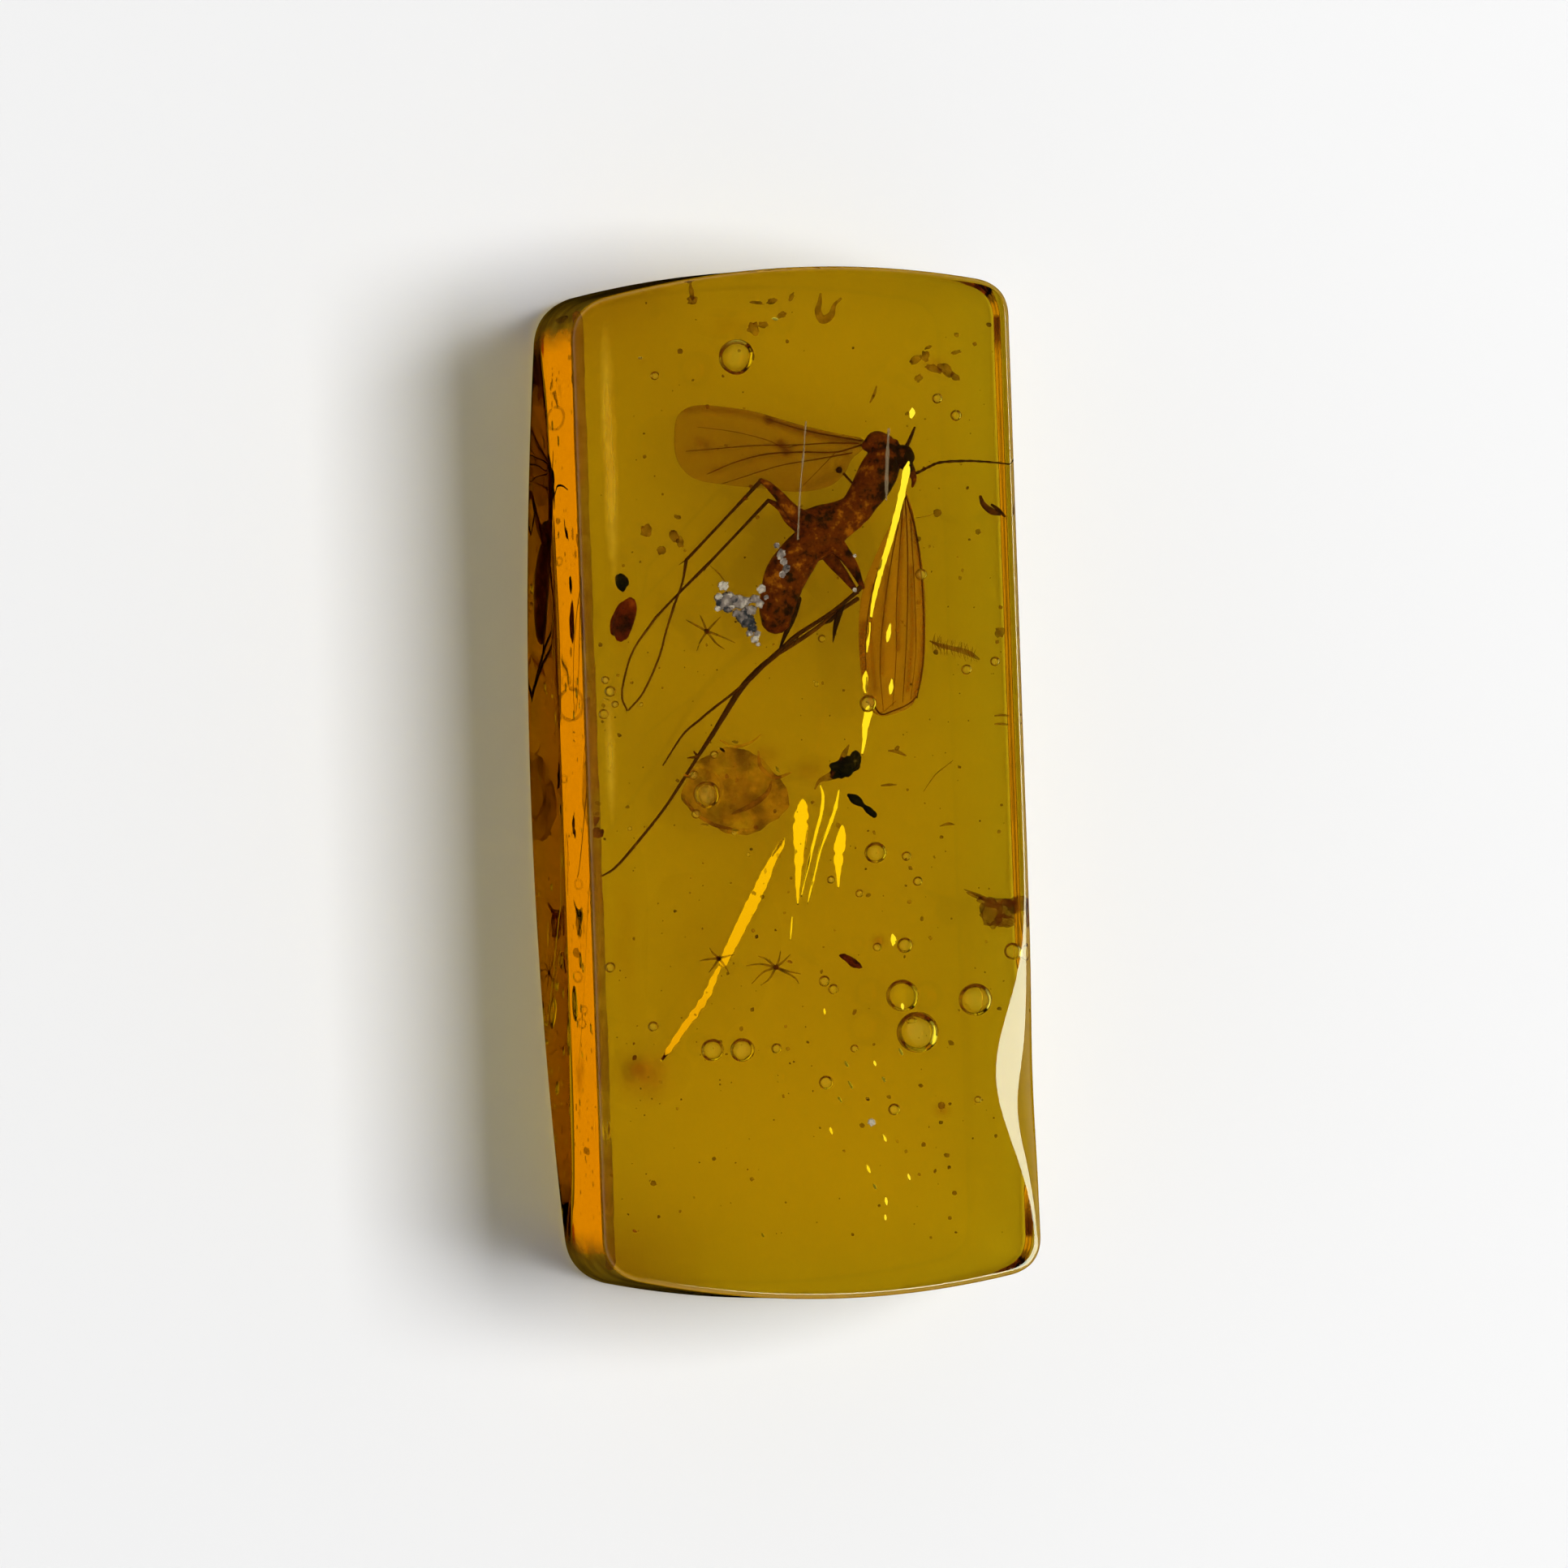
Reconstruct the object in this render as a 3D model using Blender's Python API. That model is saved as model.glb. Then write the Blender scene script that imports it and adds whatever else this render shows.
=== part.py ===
"""A polished slab of amber with a fungus gnat and small debris sealed inside it.

The slab lies on its back: its long axis runs along Y, and its polished front faces +Z.
The origin is the centre of its base. The clear stone is parted in two above mid
depth, so that the gnat and the debris lie in pockets which open on the parting.

Sizes and places in this file are in millimetres, and MM turns them into metres.
"""
import math

import bmesh
import bpy
import numpy as np
from mathutils import Euler, Matrix, Vector

MM = 0.001

# The stone
LENGTH = 26.0
THICKNESS = 6.8
RIGHT_SIDE_X = 5.85
LEFT_EDGE_X = -5.38
END_ARC_RADIUS = 22.0
END_ARC_CENTRE_X = 0.85
RIGHT_CORNER_REACH = 0.80
LEFT_CORNER_REACH = 0.90
# The right wall and the end walls lean out, by these spreads at the foot
RIGHT_SPREAD = 0.60
END_SPREAD = 0.30
# The left wall is upright down to its knee, and flares from there to a bowed foot
KNEE_HEIGHT = 2.6
FLARE_MIDDLE = 0.37
FLARE_ENDS = -0.25
# X of the middle of the foot, which is put at the origin when a mesh is finished
FOOT_MIDDLE_X = (RIGHT_SIDE_X + RIGHT_SPREAD + LEFT_EDGE_X - FLARE_MIDDLE) / 2
# Edges are polished round: an edge's inset across the face, and its drop down the wall
FOOT_ROUNDING = (0.25, 0.25)
FRONT_ROUNDING = (0.14, 0.14)
RIGHT_ROUNDING = (0.12, 0.12)
# The right edge is polished rounder round one place, and fades to its usual rounding away from it
SWELL_ROUNDING = (1.10, 0.40)
SWELL_Y = -7.6
SWELL_REACH = 2.35

# The parting and the pockets
PARTING_HEIGHT = 4.2
PARTING_GAP = 0.3
CLEARANCE = 0.3

# How finely the outline and the roundings are divided
SIDE_STEPS = 8
RIGHT_SIDE_STEPS = 12
CORNER_STEPS = 4
ROUNDING_STEPS = 4

# The gnat: tubes are routes of (x, y, z, radius), and z is measured from the parting
THORAX = ((2.97, 8.55, 0.0, 0.10), (2.80, 8.42, 0.0, 0.42), (2.56, 7.95, 0.0, 0.52),
          (2.36, 7.45, 0.0, 0.50), (2.16, 7.02, 0.0, 0.38), (1.80, 6.72, 0.0, 0.33),
          (1.35, 6.52, 0.0, 0.36), (1.05, 6.30, 0.0, 0.34))
ABDOMEN = ((1.30, 6.55, 0.0, 0.20), (1.02, 6.15, 0.0, 0.42), (0.62, 5.50, 0.0, 0.51),
           (0.26, 4.85, 0.0, 0.50), (0.04, 4.40, 0.0, 0.40), (-0.12, 4.06, 0.0, 0.16))
HEAD_CENTRE = (3.27, 8.22, 0.00)
HEAD_HALF_AXES = (0.31, 0.34, 0.30)
SCUTUM_CENTRE = (2.62, 8.60, 0.00)
SCUTUM_HALF_AXES = (0.26, 0.22, 0.34)
HALTERE_KNOB = (1.64, 7.92, 0.00)
HALTERE_HALF_AXES = (0.10, 0.08, 0.08)

LEGS = {
    "upper_leg_a": ((1.15, 6.60, 0.10, 0.20), (0.64, 6.78, 0.12, 0.21), (0.17, 7.24, 0.14, 0.13),
                    (-0.40, 7.62, 0.14, 0.07), (-1.40, 6.70, 0.12, 0.05), (-2.38, 5.73, 0.10, 0.05),
                    (-2.52, 4.98, 0.10, 0.035), (-2.77, 4.20, 0.10, 0.035), (-3.23, 2.86, 0.12, 0.03),
                    (-3.69, 2.28, 0.12, 0.03)),
    "upper_leg_b": ((1.05, 6.35, -0.12, 0.18), (0.58, 6.42, -0.14, 0.19), (0.19, 6.82, -0.14, 0.12),
                    (-0.21, 7.20, -0.14, 0.07), (-1.30, 6.05, -0.14, 0.045), (-2.60, 4.88, -0.12, 0.045),
                    (-3.16, 4.32, -0.10, 0.035), (-3.76, 3.48, -0.10, 0.03), (-4.00, 2.52, -0.08, 0.03),
                    (-3.86, 1.99, -0.08, 0.03)),
    "lower_leg_c": ((1.20, 6.15, 0.12, 0.20), (1.66, 5.66, 0.14, 0.17), (2.06, 5.04, 0.16, 0.09),
                    (1.98, 4.76, 0.16, 0.06), (0.46, 3.76, 0.16, 0.05), (-0.75, 2.74, 0.16, 0.05),
                    (-1.40, 2.24, 0.16, 0.035), (-2.46, 1.46, 0.16, 0.03), (-3.14, 0.62, 0.16, 0.03)),
    "lower_leg_d": ((1.05, 5.95, -0.12, 0.18), (1.56, 5.36, -0.14, 0.15), (2.04, 4.64, -0.14, 0.09),
                    (1.92, 4.42, -0.14, 0.06), (0.52, 3.52, -0.08, 0.055), (-1.00, 2.24, 0.06, 0.055),
                    (-1.58, 1.68, 0.14, 0.07), (-2.22, 0.75, 0.20, 0.04), (-3.18, -0.57, 0.20, 0.03),
                    (-4.00, -1.54, 0.18, 0.03), (-4.78, -2.12, 0.16, 0.03)),
    "fore_leg_e": ((2.20, 7.05, -0.10, 0.12), (2.44, 6.20, -0.16, 0.07), (2.30, 4.40, -0.16, 0.04),
                   (2.12, 2.60, -0.14, 0.03), (2.46, 1.62, -0.12, 0.03)),
    "fore_leg_f": ((2.60, 7.35, 0.16, 0.12), (3.12, 6.30, 0.24, 0.06), (3.36, 4.40, 0.26, 0.04),
                   (3.30, 2.50, 0.24, 0.03), (2.66, 1.62, 0.22, 0.03)),
}
FEELERS = {
    "long_antenna": ((3.40, 8.05, 0.02, 0.05), (3.70, 7.88, 0.02, 0.045), (4.40, 8.06, 0.02, 0.035),
                     (4.85, 8.06, 0.02, 0.03), (5.42, 7.98, 0.02, 0.03)),
    "short_antenna": ((3.30, 8.36, -0.02, 0.06), (3.43, 8.58, -0.02, 0.05), (3.68, 8.98, -0.02, 0.04)),
    "mouthparts": ((3.46, 8.02, -0.02, 0.09), (3.60, 7.78, -0.02, 0.06), (3.52, 7.44, -0.02, 0.04)),
    "haltere_stalk": ((2.20, 7.55, 0.00, 0.04), (1.64, 7.92, 0.00, 0.03)),
    "shin_spur": ((1.62, 4.52, -0.06, 0.07), (1.52, 4.14, -0.10, 0.08), (1.34, 3.56, -0.10, 0.04)),
}

# Wings are closed outlines of (x, y), cut from a thin plate at a height
WING_THICKNESS = 0.10
WING_POINTS_PER_SPAN = 3
RAISED_WING = ((2.60, 8.30), (1.90, 8.72), (0.60, 9.12), (-0.80, 9.54), (-2.05, 9.66), (-2.55, 9.05),
               (-2.40, 8.10), (-1.60, 7.62), (0.00, 7.44), (1.30, 7.56), (2.20, 7.90))
RAISED_WING_HEIGHT = -0.04
HANGING_WING = ((3.10, 7.60), (3.45, 6.90), (3.68, 5.60), (3.78, 4.00), (3.62, 2.35), (3.05, 1.66),
                (2.45, 1.72), (2.05, 2.60), (2.10, 4.20), (2.40, 5.80), (2.70, 7.10))
HANGING_WING_HEIGHT = 0.06

# Debris: pebbles are (centre, half axes, heading in degrees, unevenness)
PEBBLES = {
    "black_grain": ((-4.04, 5.24, 0.06), (0.15, 0.19, 0.14), 12, 0.06),
    "brown_seed": ((-4.03, 4.28, 0.00), (0.30, 0.54, 0.26), -18, 0.05),
    "dark_chip": ((1.56, 0.40, 0.00), (0.40, 0.24, 0.18), 28, 0.16),
    "resin_lump": ((-1.15, -0.10, -0.48), (1.28, 1.02, 0.40), -14, 0.10),
    "crumb_1": ((-3.29, 6.49, 0.00), (0.15, 0.14, 0.12), 0, 0.14),
    "crumb_2": ((-2.99, 6.07, 0.00), (0.12, 0.11, 0.10), 40, 0.14),
    "crumb_3": ((-2.54, 6.30, 0.00), (0.13, 0.26, 0.12), 35, 0.14),
    "edge_crumb": ((-4.86, -0.94, 0.00), (0.16, 0.22, 0.14), -30, 0.14),
    "debris_flake": ((4.10, 10.36, 0.00), (0.76, 0.28, 0.14), -24, 0.18),
    "bark_flake": ((4.98, -3.42, 0.00), (0.50, 0.40, 0.20), 8, 0.14),
    "red_rod": ((1.55, -4.59, 0.00), (0.14, 0.33, 0.12), 52, 0.10),
    "top_flake": ((0.08, 11.92, 0.00), (0.66, 0.20, 0.13), 24, 0.18),
    "top_bit": ((-1.96, 12.08, 0.00), (0.12, 0.22, 0.11), 8, 0.10),
}

# Debris made of short tubes
TWIGS = {
    "bark_fragment": (((1.66, -0.30, 0.00, 0.10), (1.84, -0.52, 0.00, 0.06), (2.12, -0.80, 0.00, 0.11)),),
    "curled_bit": (((5.02, 7.20, 0.00, 0.05), (5.18, 6.94, 0.00, 0.08), (5.42, 6.80, 0.00, 0.04)),),
    "resin_drop": (((1.36, 11.84, 0.00, 0.08), (1.46, 12.10, 0.00, 0.15), (1.66, 12.26, 0.00, 0.07),
                    (1.86, 12.34, 0.00, 0.03)),),
    "moss_sprig": (((3.85, 3.60, 0.00, 0.05), (4.55, 3.36, 0.00, 0.07), (5.26, 3.02, 0.00, 0.04)),
                   ((4.20, 3.82, 0.00, 0.04), (4.34, 3.10, 0.00, 0.04)),
                   ((4.74, 3.66, 0.00, 0.04), (4.84, 2.92, 0.00, 0.04))),
}

# Star-shaped oak hairs: (centre, arm length, first heading in degrees, arms)
STELLATE_HAIRS = {
    "stellate_hair_1": ((-1.85, 3.92, 0.02), 0.52, 20, 5),
    "stellate_hair_2": ((-2.01, -4.50, 0.02), 0.36, 50, 5),
    "stellate_hair_3": ((-0.36, -4.62, 0.02), 0.60, 10, 6),
}
HAIR_KNOB_RADIUS = 0.09
HAIR_ROOT_REACH = 0.06
HAIR_ROOT_RADIUS = 0.035
HAIR_TIP_RADIUS = 0.02

PARTING = Vector((0, 0, PARTING_HEIGHT))
SMOOTH_ANGLE = math.radians(40)


def reset_scene():
    """Remove every object, and make the part's and the cutters' collections."""
    for thing in list(bpy.data.objects):
        bpy.data.objects.remove(thing, do_unlink=True)
    folders = {}
    for name in ("insect_in_amber", "gnat_members", "debris_members", "pocket_cutters"):
        folders[name] = bpy.data.collections.new(name)
        bpy.context.scene.collection.children.link(folders[name])
    return folders


def material(name, colour, roughness, transmission=0.0, density=1.0):
    """A plain finish; density below 1 lets some light through."""
    finish = bpy.data.materials.new(name)
    finish.use_nodes = True
    shader = finish.node_tree.nodes["Principled BSDF"]
    shader.inputs["Base Color"].default_value = (*colour, 1.0)
    shader.inputs["Roughness"].default_value = roughness
    shader.inputs["Metallic"].default_value = 0.0
    shader.inputs["Transmission Weight"].default_value = transmission
    shader.inputs["Alpha"].default_value = density
    return finish


def place_mesh(name, mesh, folder, finish=None):
    """Put a finished mesh in a collection as an object, shaded smooth between its sharp edges."""
    mesh.transform(Matrix.Translation((-FOOT_MIDDLE_X * MM, 0, 0)))
    thing = bpy.data.objects.new(name, mesh)
    folder.objects.link(thing)
    mesh.shade_smooth()
    mesh.set_sharp_from_angle(angle=SMOOTH_ANGLE)
    if finish:
        mesh.materials.clear()
        mesh.materials.append(finish)
    else:
        thing.hide_render = True
        thing.display_type = "WIRE"
    return thing


# The stone

def end_height(x, spread):
    """Y of the rounded end at x, a shallow arc, moved out by a share of the ends' spread."""
    return LENGTH / 2 + spread * END_SPREAD - (x - END_ARC_CENTRE_X) ** 2 / (2 * END_ARC_RADIUS)


def left_side(y, flare):
    """X of the left side at y: straight with no flare, and bowed at the foot, where flare is 1."""
    bow = 1 - (2 * y / LENGTH) ** 2
    return LEFT_EDGE_X - flare * (FLARE_ENDS + (FLARE_MIDDLE - FLARE_ENDS) * bow)


def corner(start, control, finish):
    """Points of a rounded corner: a quadratic curve from start to finish, pulled to control."""
    t = np.linspace(0, 1, CORNER_STEPS + 1)[:, None]
    return (1 - t) ** 2 * np.array(start) + 2 * t * (1 - t) * np.array(control) + t ** 2 * np.array(finish)


def outline(height):
    """The stone's outline at a height, counter-clockwise from the lower right, as an array of (x, y)."""
    spread = 1 - height / THICKNESS
    flare = max(0.0, 1 - height / KNEE_HEIGHT)
    right = RIGHT_SIDE_X + spread * RIGHT_SPREAD
    right_tip = end_height(right, spread)
    left_tip = end_height(LEFT_EDGE_X, spread)
    left = left_side(left_tip, flare)
    right_y = right_tip - RIGHT_CORNER_REACH
    left_y = left_tip - LEFT_CORNER_REACH
    inner_right = right - RIGHT_CORNER_REACH
    inner_left = left + LEFT_CORNER_REACH

    rise = np.linspace(-right_y, right_y, RIGHT_SIDE_STEPS + 1)[:-1]
    right_points = np.column_stack([np.full_like(rise, right), rise])
    upper_right = corner((right, right_y), (right, right_tip), (inner_right, end_height(inner_right, spread)))
    across = np.linspace(inner_right, inner_left, SIDE_STEPS + 1)[1:-1]
    end_points = np.column_stack([across, end_height(across, spread)])
    upper_left = corner((inner_left, end_height(inner_left, spread)), (left, left_tip),
                        (left_side(left_y, flare), left_y))
    fall = np.linspace(left_y, 0, SIDE_STEPS // 2 + 1)[1:]
    left_points = np.column_stack([left_side(fall, flare), fall])

    upper_half = np.vstack([upper_right, end_points, upper_left, left_points])
    lower_half = upper_half[-2::-1] * np.array([1, -1])
    return np.vstack([right_points[1:], upper_half, lower_half])


def outward(points):
    """Unit normals of a closed counter-clockwise outline."""
    run = np.roll(points, -1, axis=0) - np.roll(points, 1, axis=0)
    normal = np.column_stack([run[:, 1], -run[:, 0]])
    return normal / np.linalg.norm(normal, axis=1)[:, None]


def rounded_ring(angle, upper):
    """One ring of a rounded edge; angle 0 is on the side and 90 degrees on the flat face."""
    plan = outline(THICKNESS if upper else 0.0)
    normal = outward(plan)
    facing_right = (np.clip(normal[:, 0], 0, 1) ** 2)[:, None]
    swell = np.exp(-((plan[:, 1] - SWELL_Y) / SWELL_REACH) ** 2)[:, None]
    right = np.array(RIGHT_ROUNDING) + (np.array(SWELL_ROUNDING) - np.array(RIGHT_ROUNDING)) * swell
    front = np.array(FRONT_ROUNDING) + (right - np.array(FRONT_ROUNDING)) * facing_right
    rounding = front if upper else np.broadcast_to(FOOT_ROUNDING, front.shape)
    inset = rounding[:, 0] * (1 - math.cos(angle))
    drop = rounding[:, 1] * (1 - math.sin(angle))
    height = THICKNESS - drop if upper else drop
    return np.column_stack([plan - normal * inset[:, None], height])


def wall_ring(height):
    """A ring of the side wall at a height."""
    plan = outline(height)
    return np.column_stack([plan, np.full(len(plan), height)])


def loft(name, rings, folder, finish):
    """A closed solid through rings of equal count, lowest first, with flat caps."""
    count = len(rings[0])
    points = np.vstack(rings) * MM
    faces = [tuple(range(count - 1, -1, -1))]
    for level in range(len(rings) - 1):
        for i in range(count):
            j = (i + 1) % count
            base = level * count
            faces.append((base + i, base + j, base + count + j, base + count + i))
    top = (len(rings) - 1) * count
    faces.append(tuple(range(top, top + count)))
    mesh = bpy.data.meshes.new(name)
    mesh.from_pydata(points.tolist(), [], faces)
    mesh.update()
    return place_mesh(name, mesh, folder, finish)


def amber_half(name, upper, folder, cutters, finish):
    """One half of the stone, from the parting out to its flat face, with its pockets cut out."""
    angles = np.radians(np.linspace(0, 90, ROUNDING_STEPS + 1))
    rounding = [rounded_ring(angle, upper) for angle in angles]
    if upper:
        rings = [wall_ring(PARTING_HEIGHT + PARTING_GAP / 2)] + rounding
    else:
        rings = rounding[::-1] + [wall_ring(KNEE_HEIGHT), wall_ring(PARTING_HEIGHT - PARTING_GAP / 2)]
    half = loft(name, rings, folder, finish)
    pockets = half.modifiers.new("pockets", "BOOLEAN")
    pockets.operation = "DIFFERENCE"
    pockets.operand_type = "COLLECTION"
    pockets.collection = cutters
    return half


# Shapes that the gnat, the debris and their pockets are made of, at heights from the parting

def tube(name, route, folder, finish=None, grow=0.0, resolution=1):
    """A tapered tube along a route of (x, y, z, radius), grown all round for a pocket."""
    places = [Vector(point[:3]) for point in route]
    first = (places[0] - places[1]).normalized() * grow
    last = (places[-1] - places[-2]).normalized() * grow
    places[0] += first
    places[-1] += last
    curve = bpy.data.curves.new(name, "CURVE")
    curve.dimensions = "3D"
    curve.bevel_depth = MM
    curve.bevel_resolution = resolution
    curve.use_fill_caps = True
    spline = curve.splines.new("POLY")
    spline.points.add(len(route) - 1)
    for point, place, spot in zip(spline.points, places, route):
        point.co = (*((place + PARTING) * MM), 1)
        point.radius = spot[3] + grow
    bent = bpy.data.objects.new(name + "_curve", curve)
    folder.objects.link(bent)
    evaluated = bent.evaluated_get(bpy.context.evaluated_depsgraph_get())
    mesh = bpy.data.meshes.new_from_object(evaluated)
    bpy.data.objects.remove(bent, do_unlink=True)
    weld(mesh)
    return place_mesh(name, mesh, folder, finish)


def weld(mesh):
    """Close a tube's loose caps, and turn its faces outwards."""
    work = bmesh.new()
    work.from_mesh(mesh)
    bmesh.ops.remove_doubles(work, verts=work.verts, dist=1e-7)
    bmesh.ops.recalc_face_normals(work, faces=work.faces)
    work.to_mesh(mesh)
    work.free()


def pebble(name, centre, half_axes, folder, finish=None, heading=0, unevenness=0.0, grow=0.0, rings=7):
    """An ellipsoid, its surface raised and sunk by a smooth wave, turned about Z to its heading."""
    work = bmesh.new()
    bmesh.ops.create_uvsphere(work, u_segments=rings + 3, v_segments=rings, radius=1.0)
    for vertex in work.verts:
        x, y, z = vertex.co
        wave = math.sin(4.1 * x + 2.0) + math.sin(4.7 * y + 3.0 * z) + math.sin(3.9 * z - 5.0 * x)
        vertex.co *= 1 + unevenness * wave / 2
    size = Matrix.Diagonal(Vector([axis + grow for axis in half_axes])).to_4x4()
    turn = Euler((0, 0, math.radians(heading))).to_matrix().to_4x4()
    place = Matrix.Translation(Vector(centre) + PARTING)
    bmesh.ops.transform(work, matrix=Matrix.Scale(MM, 4) @ place @ turn @ size, verts=work.verts)
    mesh = bpy.data.meshes.new(name)
    work.to_mesh(mesh)
    work.free()
    return place_mesh(name, mesh, folder, finish)


def smooth_loop(corners):
    """A closed Catmull-Rom curve through the corners, as an array of points."""
    points = np.array(corners, dtype=float)
    before, after, beyond = (np.roll(points, shift, axis=0) for shift in (1, -1, -2))
    t = np.linspace(0, 1, WING_POINTS_PER_SPAN + 1)[:-1][None, :, None]
    a, b, c, d = (part[:, None, :] for part in (before, points, after, beyond))
    curve = 0.5 * (2 * b + (c - a) * t + (2 * a - 5 * b + 4 * c - d) * t ** 2
                   + (3 * b - a - 3 * c + d) * t ** 3)
    return curve.reshape(-1, 2)


def wing_plate(name, corners, height, folder, finish=None, grow=0.0):
    """A wing cut from a thin plate: a flat curve, extruded by half its thickness each way."""
    loop = smooth_loop(corners)
    area = np.sum(loop[:, 0] * np.roll(loop[:, 1], -1) - np.roll(loop[:, 0], -1) * loop[:, 1])
    loop = loop + outward(loop) * grow * np.sign(area)
    curve = bpy.data.curves.new(name, "CURVE")
    curve.dimensions = "2D"
    curve.fill_mode = "BOTH"
    curve.extrude = (WING_THICKNESS / 2 + grow) * MM
    spline = curve.splines.new("POLY")
    spline.points.add(len(loop) - 1)
    spline.use_cyclic_u = True
    for point, (x, y) in zip(spline.points, loop):
        point.co = (x * MM, y * MM, 0, 1)
    flat = bpy.data.objects.new(name + "_curve", curve)
    folder.objects.link(flat)
    mesh = bpy.data.meshes.new_from_object(flat.evaluated_get(bpy.context.evaluated_depsgraph_get()))
    mesh.transform(Matrix.Translation((0, 0, (PARTING_HEIGHT + height) * MM)))
    bpy.data.objects.remove(flat, do_unlink=True)
    weld(mesh)
    return place_mesh(name, mesh, folder, finish)


# The gnat

def gnat_members(folder, grow=0.0):
    """The gnat's body parts, or with grow the hollows that hold them."""
    tag = "pocket_" if grow else "member_"
    body_resolution = 1 if grow else 3
    tube(tag + "thorax", THORAX, folder, grow=grow, resolution=body_resolution)
    tube(tag + "abdomen", ABDOMEN, folder, grow=grow, resolution=body_resolution)
    pebble(tag + "head", HEAD_CENTRE, HEAD_HALF_AXES, folder, grow=grow)
    pebble(tag + "scutum", SCUTUM_CENTRE, SCUTUM_HALF_AXES, folder, grow=grow, rings=5)
    pebble(tag + "haltere", HALTERE_KNOB, HALTERE_HALF_AXES, folder, grow=grow, rings=5)
    for name, route in {**LEGS, **FEELERS}.items():
        tube(tag + name, route, folder, grow=grow, resolution=0 if grow else 1)
    wing_plate(tag + "raised_wing", RAISED_WING, RAISED_WING_HEIGHT, folder, grow=grow)
    wing_plate(tag + "hanging_wing", HANGING_WING, HANGING_WING_HEIGHT, folder, grow=grow)


def joined(name, members, folder, finish):
    """One solid from overlapping members: the first is the base, and a union adds the others."""
    base, *others = list(members.objects)
    base.name = name
    members.objects.unlink(base)
    folder.objects.link(base)
    base.hide_render = False
    base.display_type = "TEXTURED"
    base.data.materials.clear()
    base.data.materials.append(finish)
    union = base.modifiers.new("join", "BOOLEAN")
    union.operation = "UNION"
    union.operand_type = "COLLECTION"
    union.collection = members
    return base


# The debris

def stellate_hair(name, star, parts, members, cutters, finish):
    """A star of tapered arms round a knob, lifted a little in turn, in a lens-shaped pocket."""
    centre, length, heading, arms = star
    folder = bpy.data.collections.new(name + "_members")
    members.children.link(folder)
    pebble(f"member_{name}_knob", centre, [HAIR_KNOB_RADIUS] * 3, folder, heading=heading, rings=5)
    for arm in range(arms):
        angle = math.radians(heading + 360 * arm / arms)
        along = Vector((math.cos(angle), math.sin(angle), 0.15 if arm % 2 else -0.12))
        reach = length * (1.0 if arm % 2 else 0.8)
        root = Vector(centre) + along * HAIR_ROOT_REACH
        tip = Vector(centre) + along * reach
        route = ((*root, HAIR_ROOT_RADIUS), (*tip, HAIR_TIP_RADIUS))
        tube(f"member_{name}_{arm}", route, folder, resolution=0)
    joined(name, folder, parts, finish)
    pebble("pocket_" + name, centre, (length, length, HAIR_KNOB_RADIUS), cutters, grow=CLEARANCE, rings=5)


def twig_debris(name, routes, parts, members, cutters, finish):
    """Debris of one or more tubes joined into one solid, and its pocket."""
    for number, route in enumerate(routes):
        tube(f"pocket_{name}_{number}", route, cutters, grow=CLEARANCE, resolution=0)
    if len(routes) == 1:
        tube(name, routes[0], parts, finish)
        return
    folder = bpy.data.collections.new(name + "_members")
    members.children.link(folder)
    for number, route in enumerate(routes):
        tube(f"member_{name}_{number}", route, folder, resolution=0)
    joined(name, folder, parts, finish)


def main():
    folders = reset_scene()
    parts = folders["insect_in_amber"]
    cutters = folders["pocket_cutters"]
    members = folders["debris_members"]

    amber = material("amber", (0.55, 0.26, 0.01), 0.05, transmission=1.0, density=0.45)
    chitin = material("gnat_chitin", (0.09, 0.03, 0.008), 0.4)
    black = material("black_debris", (0.01, 0.012, 0.01), 0.5)
    brown = material("brown_debris", (0.12, 0.03, 0.008), 0.5)
    resin = material("cloudy_resin", (0.5, 0.22, 0.02), 0.3)

    gnat_members(folders["gnat_members"])
    joined("fungus_gnat", folders["gnat_members"], parts, chitin)
    gnat_members(cutters, grow=CLEARANCE)

    finishes = {"black_grain": black, "dark_chip": black, "bark_fragment": black, "resin_lump": resin}
    for name, (centre, half_axes, heading, unevenness) in PEBBLES.items():
        pebble(name, centre, half_axes, parts, finishes.get(name, brown), heading, unevenness)
        pebble("pocket_" + name, centre, half_axes, cutters, heading=heading, grow=CLEARANCE, rings=5)
    for name, routes in TWIGS.items():
        twig_debris(name, routes, parts, members, cutters, finishes.get(name, brown))
    for name, star in STELLATE_HAIRS.items():
        stellate_hair(name, star, parts, members, cutters, brown)

    amber_half("amber_back", False, parts, cutters, amber)
    amber_half("amber_front", True, parts, cutters, amber)


main()
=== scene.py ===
"""Looks of a polished slab of amber with a fungus gnat, star hairs and debris sealed in it.

The slab lies on its back with its front face up. Lengths are millimetres unless a name says
otherwise, and MM turns them into metres when a mesh, a light or the camera is made.
"""
from __future__ import annotations

import logging
import math
from dataclasses import dataclass, field
from enum import Enum
from typing import Any, Iterable, Sequence

import bpy
import numpy as np
from mathutils import Matrix, Vector


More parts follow.
